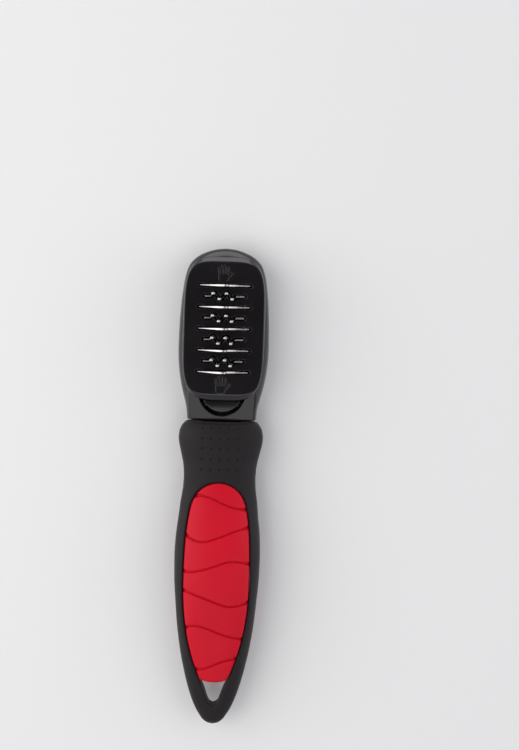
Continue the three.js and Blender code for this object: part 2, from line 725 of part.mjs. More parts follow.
function makeCassetteFace() {
  let face = superLoft(
    [
      [12.3, 14.7, 25.0],
      [13.4, FLANGE_HALF_X, FLANGE_HALF_Y],
      [14.2, FLANGE_HALF_X, 26.75],
      [14.9, 15.15, 26.0],
      [FACE_Z, 14.7, 24.6],
    ],
    4,
    60,
  );
  face = face.add(superLoft([7.6, 13].map((z) => [z, BODY_HALF_X, BODY_HALF_Y]), 6, 48));
  // An end bar on a tongue at each end
  for (const sign of [-1, 1]) {
    const tongue = [
      [sign * TONGUE_ROOT_Y, BAR_Z - TONGUE_HALF_T],
      [sign * BAR_Y, BAR_Z - TONGUE_HALF_T],
      [sign * BAR_Y, BAR_Z + TONGUE_HALF_T],
      [sign * TONGUE_ROOT_Y, BAR_Z + TONGUE_HALF_T],
    ];
    face = face
      .add(sidePlate(tongue, BAR_HALF_X))
      .add(cylinderAlongX([sign * BAR_Y, BAR_Z], BAR_R, BAR_HALF_X));
  }
  face = face.subtract(makeChamber());

  const hookedEnd = HOOKED_SLOT_HALF_X - HOOKED_SLOT_R;
  for (const y of HOOKED_YS) {
    const slot = roundedBar([-hookedEnd, 0], [hookedEnd, 0], y, HOOKED_SLOT_R, 5);
    face = face.subtract(slab(slot, SLOT_Z));
  }
  // A toothed blade's slot follows the wave of the blade.
  const toothedEnd = TOOTHED_SLOT_HALF_X - TOOTHED_SLOT_R;
  const path = [[-toothedEnd, 0], ...TOOTH_WAVE, [toothedEnd, 0]];
  for (const y of TOOTHED_YS)
    for (let i = 1; i < path.length; i++) {
      const slot = roundedBar(path[i - 1], path[i], y, TOOTHED_SLOT_R, 6);
      face = face.subtract(slab(slot, SLOT_Z));
    }
  return drill(cutRodHoles(face, 18.1), CASSETTE_SCREWS, SHANK_HOLE, [0, 11.6]);
}

// ---- cassette back ----
function makeCassetteBack() {
  const back = superLoft(
    [
      [5.4, 12.9, 21.5],
      [5.9, BODY_HALF_X, BODY_HALF_Y],
      [7.3, BODY_HALF_X, BODY_HALF_Y],
    ],
    6,
    48,
  );
  const drilled = drill(back, CASSETTE_SCREWS, SHANK_HOLE, [0, 10]);
  return drill(drilled, CASSETTE_SCREWS, HEAD_HOLE, [0, 6.5]);
}

// ---- release button ----
const BUTTON_R = 7.55;
const BUTTON_CUT_Y = -26.65;
const LEG_Y = [-28.9, -27.4];
// The parts of a leg: [x, z]
const LEG_PARTS = [
  [[4.9, 6.0], [8.6, 11.6]],
  [[4.9, 8.3], [8.6, 9.9]],
];

// A half-moon plate that follows the neck's slope, with an L-shaped leg on each side.
function makeButton() {
  let button = slab(halfMoon(BUTTON_R, BUTTON_CUT_Y, 24), [9, 14])
    .subtract(aboveNeck(RIM_Z + 0.5))
    .intersect(aboveNeck(RIM_Z - 0.35));
  for (const sign of [-1, 1])
    for (const [x, z] of LEG_PARTS) button = button.add(box(onSide(sign, x), LEG_Y, z));
  return button;
}

// ---- latch spring ----
// Centre line of the strip, [y, z]
const SPRING_PATH = [
  [-32.5, 3.9], [-30.5, 3.9], [-29.9, 4.15], [-29.65, 4.75], [-29.65, 9.6],
  [-29.85, 9.95], [-30.2, 10.1], [-30.7, 10.1],
];
// The nose, pressed out of the strip over the cassette's end bar, [y, z]
const SPRING_NOSE = [
  [-29.9, 10.1], [-29.4, 10.1], [-29.4, 10.5], [-26.1, 10.5], [-25.6, 10.62],
  [-25.9, 10.8], [-29.9, 10.8],
];
const SPRING_T = 0.5;

function makeLatchSpring() {
  return sidePlate(bentSheet(SPRING_PATH, SPRING_T), 3.3).add(sidePlate(SPRING_NOSE, 2.2));
}

// ---- materials ----
const material = (look) => new THREE.MeshStandardMaterial(look);
const glossBlack = material({ color: 0x0d0c0e, roughness: 0.16, metalness: 0 });
const rubberBlack = material({ color: 0x221f22, roughness: 0.72, metalness: 0 });
const padRed = material({ color: 0xc8162c, roughness: 0.55, metalness: 0 });
const steel = material({ color: 0xc4c4c6, roughness: 0.22, metalness: 1 });
const springSteel = material({ color: 0xa8a8aa, roughness: 0.3, metalness: 1 });
const zinc = material({ color: 0x8f9093, roughness: 0.35, metalness: 1 });

// ---- assembly ----
const comb = new THREE.Group();
const handle = new THREE.Group();
const cassette = new THREE.Group();
comb.add(handle, cassette);

function addPiece(parent, name, body, look, position = [0, 0, 0]) {
  const mesh = new THREE.Mesh(geometryOf(body), look);
  mesh.name = name;
  mesh.position.set(...position);
  parent.add(mesh);
}

addPiece(handle, "head_frame", makeHeadFrame(), glossBlack);
addPiece(handle, "back_cover", makeBackCover(), glossBlack);
const coverScrew = makeScrew({ shankR: 0.85, length: 4.4 });
for (const [place, x, y] of COVER_SCREWS)
  addPiece(handle, `cover_screw_${place}`, coverScrew, zinc, [x, y, 0.35]);
addPiece(handle, "grip_sleeve", makeGripSleeve(), rubberBlack);
addPiece(handle, "front_grip_pad", makeFrontPad(), padRed);
addPiece(handle, "rear_grip_pad", makeRearPad(), padRed);
addPiece(handle, "latch_spring", makeLatchSpring(), springSteel);
addPiece(comb, "release_button", makeButton(), glossBlack);

addPiece(cassette, "cassette_face", makeCassetteFace(), glossBlack);
addPiece(cassette, "cassette_back", makeCassetteBack(), glossBlack);
const cassetteScrew = makeScrew({ shankR: 0.8, length: 3.4 });
for (const [place, x, y] of CASSETTE_SCREWS)
  addPiece(cassette, `cassette_screw_${place}`, cassetteScrew, zinc, [x, y, 5.5]);
const hookedBlade = makeHookedBlade();
HOOKED_YS.forEach((y, i) =>
  addPiece(cassette, `hooked_blade_${i + 1}`, hookedBlade, steel, [0, y, 0]),
);
const toothedBlade = makeToothedBlade();
TOOTHED_YS.forEach((y, i) =>
  addPiece(cassette, `toothed_blade_${i + 1}`, toothedBlade, steel, [0, y, 0]),
);
const rod = makeRod();
addPiece(cassette, "blade_rod_left", rod, springSteel, [-ROD_X, 0, 0]);
addPiece(cassette, "blade_rod_right", rod, springSteel, [ROD_X, 0, 0]);

export default comb;
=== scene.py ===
"""A hand tool: a cassette of hooked and toothed blades in the head of a rubber-gripped handle.

It lies on its back on the floor (z = 0), with the blades pointing up (+z), the head toward +y,
the grip toward -y and x = 0 on the centre line. Each piece is a signed distance field in
millimetres, negative inside, turned into a mesh in metres.
"""
import math
from functools import reduce

import bpy
import numpy as np
from mathutils import Matrix, Vector


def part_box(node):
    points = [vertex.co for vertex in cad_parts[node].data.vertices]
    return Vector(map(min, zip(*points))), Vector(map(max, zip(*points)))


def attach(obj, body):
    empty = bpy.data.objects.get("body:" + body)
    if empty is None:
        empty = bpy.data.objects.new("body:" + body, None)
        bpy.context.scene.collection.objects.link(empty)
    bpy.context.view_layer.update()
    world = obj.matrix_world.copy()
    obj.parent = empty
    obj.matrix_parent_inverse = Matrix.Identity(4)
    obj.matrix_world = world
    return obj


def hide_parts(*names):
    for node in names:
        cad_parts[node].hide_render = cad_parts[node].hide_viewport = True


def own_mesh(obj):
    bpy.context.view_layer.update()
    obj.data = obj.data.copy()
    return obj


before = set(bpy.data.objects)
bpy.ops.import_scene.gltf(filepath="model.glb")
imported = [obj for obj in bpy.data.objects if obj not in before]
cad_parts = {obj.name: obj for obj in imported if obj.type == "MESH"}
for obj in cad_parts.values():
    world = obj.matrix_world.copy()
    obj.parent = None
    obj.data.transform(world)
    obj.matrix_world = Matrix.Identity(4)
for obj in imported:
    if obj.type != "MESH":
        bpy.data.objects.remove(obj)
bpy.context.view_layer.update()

MM = 0.001


def node_box(name):
    """Low and high corners of a CAD node, in millimetres."""
    low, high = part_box(name)
    return np.array(low) / MM, np.array(high) / MM


def node_middle_y(name):
    low, high = node_box(name)
    return float((low[1] + high[1]) / 2)


# ---------------------------------------------------------------- dimensions, in millimetres
# Head frame and neck
NECK_END_Y = -34.0
NECK_TOP_Y = -26.5
NECK_SLOPE = 0.19
RIM_Z = 12.0
FRAME_BOTTOM_Z = node_box("back_cover")[1][2] + 0.3
POCKET_FLOOR_Z = 5.0
# Grip and pads
TIP_Y = node_box("grip_sleeve")[0][1]
PAD_SPLIT_Z = 9.7
PAD_END_Y, PAD_END_R = -131.3, 14
# Cassette, with a hooked tongue at each end
FACE_Z = node_box("cassette_face")[1][2]
FLANGE_HALF_X, FLANGE_HALF_Y = node_box("cassette_face")[1][0], 26.8
BOX_HALF_X, BOX_HALF_Y = 13.4, 22.0
BAR_Y, BAR_Z, BAR_R = 25.4, 9.4, 0.9
TONGUE_HALF_X = 4.2
# Blades and the rods through them
HOOKED_Y = [node_middle_y(f"hooked_blade_{i}") for i in range(1, 6)]
TOOTHED_Y = [node_middle_y(f"toothed_blade_{i}") for i in range(1, 5)]
BLADE_HALF_THICKNESS = 0.4
FOOT_HALF_X, FOOT_BOTTOM_Z, FOOT_TOP_Z = 11.5, 7.9, 13.45
ROD_X, ROD_Z, ROD_HOLE_R = 7.8, 10.6, 1.4
TOOTH_X = [-3.85, -1.6, 0.95, 3.0]
TOOTH_SET = 1.03
TOOTH_R = 0.62
TOOTH_TOP_Z = node_box("toothed_blade_1")[1][2]
SHOULDER_Z = 17.0
# Release button: a disc cut off straight on its +y side
BUTTON_Y, BUTTON_R, WINDOW_R = -23.7, 7.55, 8.75
BUTTON_FLAT_Y = -26.65
# Screws
COVER_SCREWS = [(0, 24.85), (-8.6, -24.95), (8.6, -24.95)]
CASSETTE_SCREWS = [(x, y) for x in (-9.6, 9.6) for y in (-19.4, 19.4)]
SCREW_HOLE_R, SCREW_SINK_R = 1.15, 2.0
SCREW_HEAD_R, SCREW_HEAD_HEIGHT = 1.7, 0.8
THREAD_PITCH, THREAD_DEPTH = 0.8, 0.07
# Dimples in the sleeve
DIMPLE_ROWS_Y = [-36.9, -40.7, -44.5, -48.4, -52.3]
DIMPLE_PITCH_X, DIMPLES_EACH_SIDE = 3.25, 2

# Grip stations: y, half width in x
GRIP_HALF_WIDTH = [
    (-34.3, 12.7), (-35, 13.45), (-36.4, 14.65), (-38.6, 15.55), (-40.9, 15.75), (-43.1, 15.5),
    (-45.3, 15.0), (-47.6, 14.45), (-49.8, 13.95), (-52.1, 13.6), (-55.4, 13.4), (-58.8, 13.5),
    (-61, 13.75), (-65.5, 14.4), (-70, 14.85), (-74.4, 15.4), (-78.9, 15.75), (-84.5, 15.95),
    (-92.4, 15.8), (-101.3, 15.15), (-110.3, 14.3), (-119.2, 13.0), (-128.2, 11.1), (-137.1, 8.5),
    (-141.6, 6.6), (-143.8, 5.3), (-146.1, 3.6), (-147.2, 2.1), (-147.8, 0.5)]
# Grip stations: y, z of the front (upper) face
GRIP_FRONT = [
    (-34.3, 13.1), (-35, 14.2), (-36.4, 15.2), (-38.6, 15.8), (-41, 16.0), (-45, 15.7),
    (-50, 15.3), (-56, 15.3), (-63, 16.2), (-72, 17.8), (-80, 18.8), (-88, 19.2), (-98, 18.9),
    (-106, 18.2), (-115, 17.0), (-124, 15.5), (-132, 14.0), (-140, 12.4), (-144, 11.4),
    (-146.5, 10.2), (-147.8, 8.4)]
# Grip stations: y, z of the back (lower) face
GRIP_BACK = [
    (-34.3, 1.4), (-35, 1.0), (-36.4, 0.6), (-38.6, 0.4), (-41, 0.4), (-45, 0.6), (-50, 0.9),
    (-56, 1.0), (-63, 0.8), (-72, 0.3), (-80, -0.15), (-88, -0.35), (-98, -0.35), (-106, -0.05),
    (-115, 0.8), (-124, 1.8), (-132, 2.9), (-140, 4.1), (-144, 5.0), (-146.5, 6.2), (-147.8, 7.8)]
# Opening in the sleeve for the pads: y, half width in x
OPENING_HALF_WIDTH = [
    (-57, 0.1), (-57.4, 2.6), (-58.6, 5.4), (-60.2, 7.4), (-62.4, 9.0), (-65, 10.1), (-68, 10.8),
    (-72, 11.4), (-77, 11.9), (-83, 12.2), (-90, 12.35), (-97, 12.3), (-104, 11.9), (-111, 11.0),
    (-117, 9.8), (-122, 8.4), (-126, 7.0), (-131.3, 4.9), (-135, 3.3), (-138, 2.2), (-139.5, 1.4),
    (-140.2, 0.1)]
# Right half of the head's outline: x, y, from the top down
HEAD_RIGHT = [
    (0, 29.85), (3.6, 29.5), (6.7, 28.6), (9.7, 27.25), (12.0, 25.5), (13.4, 23.8), (14.3, 21.8),
    (14.95, 19.5), (15.4, 17.2), (15.8, 14.2), (16.2, 10.6), (16.5, 6.2), (16.75, 1.7),
    (16.85, -2.8), (16.85, -9.5), (16.55, -14), (15.95, -18.5), (15.05, -22.9), (13.75, -27.8),
    (13.2, -30.5), (12.85, -34), (12.7, -38)]
# Inset of the head's rim: by |x| near the top end, by y elsewhere
RIM_INSET_BY_X = ([0, 3.6, 6.7, 9.7, 12.0, 13.4, 14.3, 14.95],
                  [4.3, 4.0, 3.4, 2.6, 2.05, 1.65, 1.4, 1.2])
RIM_INSET_BY_Y = (
    [-34, -30.5, -27.8, -22.9, -18.5, -14, -9.5, -2.8, 1.7, 6.2, 10.6, 14.2, 17, 19.6],
    [1.0, 1.1, 1.3, 1.7, 1.6, 1.45, 1.4, 1.35, 1.25, 1.2, 1.1, 1.05, 1.1, 1.2])
# Wavy grooves across the pads: x, y
GROOVES = [
    [(-11.42, -62.7), (-6.54, -61.95), (-2.63, -62.87), (1.95, -64.86), (5.38, -66.1),
     (13.02, -67.01)],
    [(-14.28, -74.58), (-8.96, -78.11), (-5.54, -78.79), (-2.17, -78.01), (2.3, -76.38),
     (6.76, -74.57), (13.77, -72.56)],
    [(-14.99, -89.4), (-9.71, -90.0), (-5.23, -89.08), (-0.75, -87.56), (3.71, -85.97),
     (7.1, -85.76), (10.52, -86.32), (15.35, -87.4)],
    [(-14.88, -95.95), (-9.48, -97.69), (-4.92, -99.23), (-0.35, -100.8), (4.21, -102.23),
     (7.6, -102.13), (9.87, -101.61), (14.94, -99.28)],
    [(-13.54, -112.58), (-9.1, -110.22), (-5.74, -110.0), (-2.32, -110.94), (2.29, -112.71),
     (6.85, -114.02), (13.15, -115.43)],
    [(-9.99, -125.87), (-5.54, -126.46), (-3.05, -125.9), (0.67, -124.29), (4.35, -122.8),
     (11.31, -121.5)]]
# Working edge of a hooked blade above its foot: x, z
HOOKED_EDGE = [
    (9.35, 17.0), (7.6, 17.05), (6.0, 17.15), (4.6, 17.35), (3.3, 17.7), (2.2, 18.25),
    (1.4, 19.0), (0.95, 19.9), (0.85, 20.9), (1.05, 21.8), (1.3, 22.5), (1.25, 23.1),
    (0.85, 23.5), (0.3, 23.6), (-0.5, 23.45), (-1.6, 22.9), (-3.0, 21.9), (-4.4, 20.7),
    (-5.8, 19.5), (-7.2, 18.3), (-8.4, 17.4), (-9.35, 17.0)]
# Half thickness along that edge: x values, then half thicknesses
HOOKED_GRIND = ([-9.6, -8.6, -5.5, -2.5, -0.6, 0.1, 0.8, 4.0, 5.0, 8.6, 9.5],
                [0.07, 0.10, 0.22, 0.36, 0.38, 0.26, 0.34, 0.33, 0.22, 0.15, 0.08])
# Middle line of the latch leaf: y, z
LEAF_PATH = [(-32.5, 3.9), (-30.5, 3.9), (-29.9, 4.15), (-29.65, 4.75), (-29.65, 9.6),
             (-29.85, 9.95), (-30.2, 10.1), (-30.7, 10.1)]


# ---------------------------------------------------------------- blending and basic fields
def soft_max(first, second, blend):
    """Maximum with the crease rounded over a width of blend."""
    overlap = np.maximum(blend - np.abs(first - second), 0) / blend
    return np.maximum(first, second) + overlap * overlap * blend * 0.25


def soft_min(first, second, blend):
    return -soft_max(-first, -second, blend)


def carve(form, tool, blend=0):
    """Cut the tool's shape out of a form."""
    return soft_max(form, -tool, blend) if blend else np.maximum(form, -tool)


def union(fields):
    return reduce(np.minimum, fields)


def ease(start, end, value):
    """Smooth step from 0 at start to 1 at end."""
    share = np.clip((value - start) / (end - start), 0, 1)
    return share * share * (3 - 2 * share)


def rounded_box(excess, rounding):
    """Box distance from how far each coordinate passes the box's core."""
    outside = np.sqrt(sum(np.maximum(e, 0) ** 2 for e in excess))
    return outside + np.minimum(reduce(np.maximum, excess), 0) - rounding


def block(x, y, z, low, high, rounding):
    excess = [np.abs(place - (start + end) / 2) - ((end - start) / 2 - rounding)
              for place, start, end in zip((x, y, z), low, high)]
    return rounded_box(excess, rounding)


def rectangle(x, y, half_x, half_y, rounding):
    return rounded_box([np.abs(x) - half_x + rounding, np.abs(y) - half_y + rounding], rounding)


def capsule(x, y, start, end, radius):
    """Distance to a round-ended bar in a plane."""
    run_x, run_y = end[0] - start[0], end[1] - start[1]
    from_x, from_y = x - start[0], y - start[1]
    share = (from_x * run_x + from_y * run_y) / (run_x * run_x + run_y * run_y)
    share = np.clip(share, 0, 1)
    return np.hypot(from_x - run_x * share, from_y - run_y * share) - radius


# ---------------------------------------------------------------- curves and plan fields
def weigh(time, start, end, first, last):
    return ((end - time) * first + (time - start) * last) / (end - start)


def spline(points, per_span):
    """Centripetal Catmull-Rom curve through the points."""
    knots = np.array(points, float)
    knots = np.vstack([2 * knots[0] - knots[1], knots, 2 * knots[-1] - knots[-2]])
    curve = []
    for i in range(1, len(knots) - 2):
        near = knots[i - 1:i + 3]
        times = [0.0]
        for start, end in zip(near, near[1:]):
            times.append(times[-1] + np.linalg.norm(end - start) ** 0.5)
        for time in np.linspace(times[1], times[2], per_span, endpoint=False):
            sides = [weigh(time, times[k], times[k + 1], near[k], near[k + 1]) for k in range(3)]
            mids = [weigh(time, times[k], times[k + 2], sides[k], sides[k + 1]) for k in range(2)]
            curve.append(weigh(time, times[1], times[2], *mids))
    curve.append(knots[-2])
    return np.array(curve)


class Profile:
    """A smooth function of one coordinate through (place, value) rows, with its slope."""

    STEP = 0.05
    MARGIN = 4

    def __init__(self, rows, blur=1.2):
        places, values = np.array(sorted(rows), float).T
        gaps = np.diff(places)
        rates = np.diff(values) / gaps
        # Tangents that never overshoot the rows
        tangents = np.zeros(len(places))
        tangents[0], tangents[-1] = rates[0], rates[-1]
        for i in range(1, len(places) - 1):
            if rates[i - 1] * rates[i] > 0:
                before = 2 * gaps[i] + gaps[i - 1]
                after = gaps[i] + 2 * gaps[i - 1]
                tangents[i] = (before + after) / (before / rates[i - 1] + after / rates[i])

        self.places = np.arange(places[0] - self.MARGIN, places[-1] + self.MARGIN, self.STEP)
        inside = np.clip(self.places, places[0], places[-1])
        i = np.clip(np.searchsorted(places, inside, side="right") - 1, 0, len(places) - 2)
        t = (inside - places[i]) / gaps[i]
        curve = (values[i] * (1 + 2 * t) * (1 - t) ** 2
                 + gaps[i] * tangents[i] * t * (1 - t) ** 2
                 + values[i + 1] * t * t * (3 - 2 * t)
                 + gaps[i] * tangents[i + 1] * t * t * (t - 1))

        # A short running mean removes the small bumps the rows leave, away from the two ends
        count = int(blur / self.STEP) | 1
        kernel = np.hanning(count + 2)[1:-1]
        kernel /= kernel.sum()
        mean = np.convolve(np.pad(curve, count // 2, mode="edge"), kernel, mode="valid")
        from_end = np.minimum(np.abs(self.places - places[0]), np.abs(self.places - places[-1]))
        share = ease(blur, blur * 3.5, from_end)
        self.values = curve * (1 - share) + mean * share
        self.slopes = np.gradient(self.values, self.places)

    def __call__(self, place):
        return np.interp(place, self.places, self.values)

    def slope(self, place):
        return np.interp(place, self.places, self.slopes)


def line_distance(x, y, points, closed):
    """Signed distance to a polygon, negative inside, or plain distance to an open line."""
    starts, ends = points, np.roll(points, -1, axis=0)
    if not closed:
        starts, ends = starts[:-1], ends[:-1]
    nearest = np.full(x.shape, 1e9)
    inside = np.zeros(x.shape, bool)
    for (start_x, start_y), (end_x, end_y) in zip(starts, ends):
        run_x, run_y = end_x - start_x, end_y - start_y
        from_x, from_y = x - start_x, y - start_y
        length_squared = max(run_x * run_x + run_y * run_y, 1e-12)
        share = np.clip((from_x * run_x + from_y * run_y) / length_squared, 0, 1)
        distance = (from_x - run_x * share) ** 2 + (from_y - run_y * share) ** 2
        np.minimum(nearest, distance, out=nearest)
        if closed:
            safe_run = run_y if abs(run_y) > 1e-12 else 1e-12
            spans = (start_y > y) != (end_y > y)
            inside ^= spans & (x < run_x * (y - start_y) / safe_run + start_x)
    nearest = np.sqrt(nearest)
    return np.where(inside, -nearest, nearest)


class Plan:
    """Distance to lines in a plane, kept on a grid and read back with cubic interpolation."""

    def __init__(self, lines, low, high, step=0.2, closed=True):
        self.low = np.array(low, float) - 3 * step
        self.step = step
        span = np.array(high, float) + 3 * step - self.low
        self.count = np.ceil(span / step).astype(int) + 1
        x, y = np.meshgrid(*(self.low[k] + step * np.arange(self.count[k]) for k in range(2)),
                           indexing="ij")
        self.grid = union(line_distance(x, y, line, closed) for line in lines)

    @staticmethod
    def weights(share):
        """Cubic B-spline weights: smooth, at the cost of a very slight rounding."""
        return ((1 - share) ** 3 / 6,
                (3 * share ** 3 - 6 * share ** 2 + 4) / 6,
                (-3 * share ** 3 + 3 * share ** 2 + 3 * share + 1) / 6,
                share ** 3 / 6)

    def __call__(self, x, y):
        column = np.clip((x - self.low[0]) / self.step, 1.0, self.count[0] - 2.001)
        row = np.clip((y - self.low[1]) / self.step, 1.0, self.count[1] - 2.001)
        column, row = np.broadcast_arrays(column, row)
        i, j = np.floor(column).astype(int), np.floor(row).astype(int)
        column_weights, row_weights = self.weights(column - i), self.weights(row - j)
        total = np.zeros(column.shape)
        for a in range(4):
            along = np.zeros(column.shape)
            for b in range(4):
                along += row_weights[b] * self.grid[i + a - 1, j + b - 1]
            total += column_weights[a] * along
        return total


class Relief:
    """A plane function kept on a fine square grid and read back linearly."""

    def __init__(self, function, half, step=0.08):
        self.count = int(half / step)
        self.step = step
        places = np.arange(-self.count, self.count + 1) * step
        self.grid = function(*np.meshgrid(places, places, indexing="ij"))
        self.half = (self.count - 1) * step

    def __call__(self, x, y):
        column, row = np.broadcast_arrays(
            *(np.clip(v, -self.half, self.half) / self.step + self.count for v in (x, y)))
        i, j = np.floor(column).astype(int), np.floor(row).astype(int)
        s, t = column - i, row - j
        grid = self.grid
        return ((grid[i, j] * (1 - s) + grid[i + 1, j] * s) * (1 - t)
                + (grid[i, j + 1] * (1 - s) + grid[i + 1, j + 1] * s) * t)


def superellipse(half_x, half_y, power, count=220):
    angle = np.linspace(0, 2 * math.pi, count, endpoint=False)
    cos, sin = np.cos(angle), np.sin(angle)
    return np.stack([half_x * np.sign(cos) * np.abs(cos) ** (2 / power),
                     half_y * np.sign(sin) * np.abs(sin) ** (2 / power)], 1)


def mirror(right):
    """Close a right half, whose two ends lie on x = 0, into a full outline."""
    return np.vstack([right, right[1:-1][::-1] * [-1, 1]])


# ---------------------------------------------------------------- mesh from a field
CORNERS = [(i & 1, i >> 1 & 1, i >> 2) for i in range(8)]
EDGES = [(i, i + bit) for bit in (1, 2, 4) for i in range(8) if not i & bit]
GRID_OFFSET = 0.013
PROJECT_REACH, NORMAL_REACH = 0.03, 0.04


def gradient(field, points, reach):
    slopes = np.empty_like(points)
    x, y, z = points.T
    slopes[:, 0] = field(x + reach, y, z) - field(x - reach, y, z)
    slopes[:, 1] = field(x, y + reach, z) - field(x, y - reach, z)
    slopes[:, 2] = field(x, y, z + reach) - field(x, y, z - reach)
    return slopes / (2 * reach)


def project(field, points, times, longest):
    """Bring points onto the surface field = 0 by Newton steps of limited length."""
    for _ in range(times):
        value = field(points[:, 0], points[:, 1], points[:, 2])
        slopes = gradient(field, points, PROJECT_REACH)
        steepness = np.maximum((slopes * slopes).sum(1), 0.05)
        move = -(value / steepness)[:, None] * slopes
        size = np.linalg.norm(move, axis=1)
        move *= np.minimum(1, longest / np.maximum(size, 1e-9))[:, None]
        points = points + move
    return points


def surface(field, low, high, step, relax):
    """Vertices, quads and normals of the surface field = 0."""
    low = np.array(low, float) - GRID_OFFSET
    count = [int(math.ceil((high[k] - low[k]) / step)) + 1 for k in range(3)]
    x, y, z = (low[k] + step * np.arange(count[k]) for k in range(3))
    values = field(x[:, None, None], y[None, :, None], z[None, None, :])
    values = np.broadcast_to(np.asarray(values, np.float32), count)
    inside = values < 0

    # One vertex in each cell the surface crosses, at the mean of its edge crossings
    total = np.zeros([c - 1 for c in count], np.int8)
    for a, b, c in CORNERS:
        total += inside[a:count[0] - 1 + a, b:count[1] - 1 + b, c:count[2] - 1 + c]
    cells = np.argwhere((total > 0) & (total < 8))
    vertex_of = np.full(total.shape, -1, np.int32)
    vertex_of[tuple(cells.T)] = np.arange(len(cells))
    at_corner = np.stack([values[tuple((cells + corner).T)] for corner in CORNERS], 1)
    at_corner = at_corner.astype(float)
    points = np.zeros((len(cells), 3))
    crossings = np.zeros(len(cells))
    corner = np.array(CORNERS, float)
    for a, b in EDGES:
        start, end = at_corner[:, a], at_corner[:, b]
        crossed = (start < 0) != (end < 0)
        share = np.where(crossed, start / np.where(crossed, start - end, 1), 0)
        points += crossed[:, None] * (corner[a] + share[:, None] * (corner[b] - corner[a]))
        crossings += crossed
    points = low + (cells + points / crossings[:, None]) * step

    # One quad round each grid edge the surface crosses, wound to face outward
    quads = []
    for axis in range(3):
        u, v = (axis + 1) % 3, (axis + 2) % 3
        edges = np.argwhere(np.diff(inside, axis=axis))
        interior = ((edges[:, u] > 0) & (edges[:, v] > 0)
                    & (edges[:, u] < count[u] - 1) & (edges[:, v] < count[v] - 1))
        edges = edges[interior]
        leaving = inside[tuple(edges.T)]
        step_u, step_v = np.eye(3, dtype=int)[[u, v]]
        quad = np.stack([vertex_of[tuple((edges - step_u * i - step_v * j).T)]
                         for i, j in ((1, 1), (0, 1), (0, 0), (1, 0))], 1)
        quad[~leaving] = quad[~leaving][:, ::-1]
        quads.append(quad)
    quads = np.vstack(quads)
    quads = quads[(quads >= 0).all(1)]

    # Even out the vertices along the surface
    longest = 0.45 * step
    points = project(field, points, 2, longest)
    for _ in range(relax):
        around = np.zeros_like(points)
        neighbours = np.zeros(len(points))
        for i in range(4):
            a, b = quads[:, i], quads[:, (i + 1) % 4]
            for k in range(3):
                around[:, k] += (np.bincount(a, points[b, k], len(points))
                                 + np.bincount(b, points[a, k], len(points)))
            neighbours += (np.bincount(a, minlength=len(points))
                           + np.bincount(b, minlength=len(points)))
        mean = around / np.maximum(neighbours, 1)[:, None]
        points = project(field, points + 0.55 * (mean - points), 1, longest)
    points = project(field, points, 2, longest)
    normals = gradient(field, points, NORMAL_REACH)
    normals /= np.maximum(np.linalg.norm(normals, axis=1), 1e-9)[:, None]
    return points, quads, normals


# ---------------------------------------------------------------- materials, all procedural
def add_node(tree, kind, inputs=None, **settings):
    """Add a shader node; each input is either a value or a socket to link from."""
    node = tree.nodes.new("ShaderNode" + kind)
    for setting, value in settings.items():
        setattr(node, setting, value)
    for socket, value in (inputs or {}).items():
        if isinstance(value, bpy.types.NodeSocket):
            tree.links.new(value, node.inputs[socket])
        else:
            node.inputs[socket].default_value = value
    return node


def noise(tree, vector, scale, detail=3.0, roughness=0.5):
    inputs = {"Scale": scale, "Detail": detail, "Roughness": roughness, "Vector": vector}
    return add_node(tree, "TexNoise", inputs).outputs[0]


def remap(tree, value, low, high, start=0.3, end=0.7):
    inputs = {"From Min": start, "From Max": end, "To Min": low, "To Max": high, "Value": value}
    return add_node(tree, "MapRange", inputs).outputs["Result"]


def bump(tree, height, strength, depth, under):
    """Bump of a depth in millimetres, over the normal under it if there is one."""
    inputs = {"Strength": strength, "Distance": depth * MM, "Height": height}
    if under is not None:
        inputs["Normal"] = under
    return add_node(tree, "Bump", inputs).outputs["Normal"]


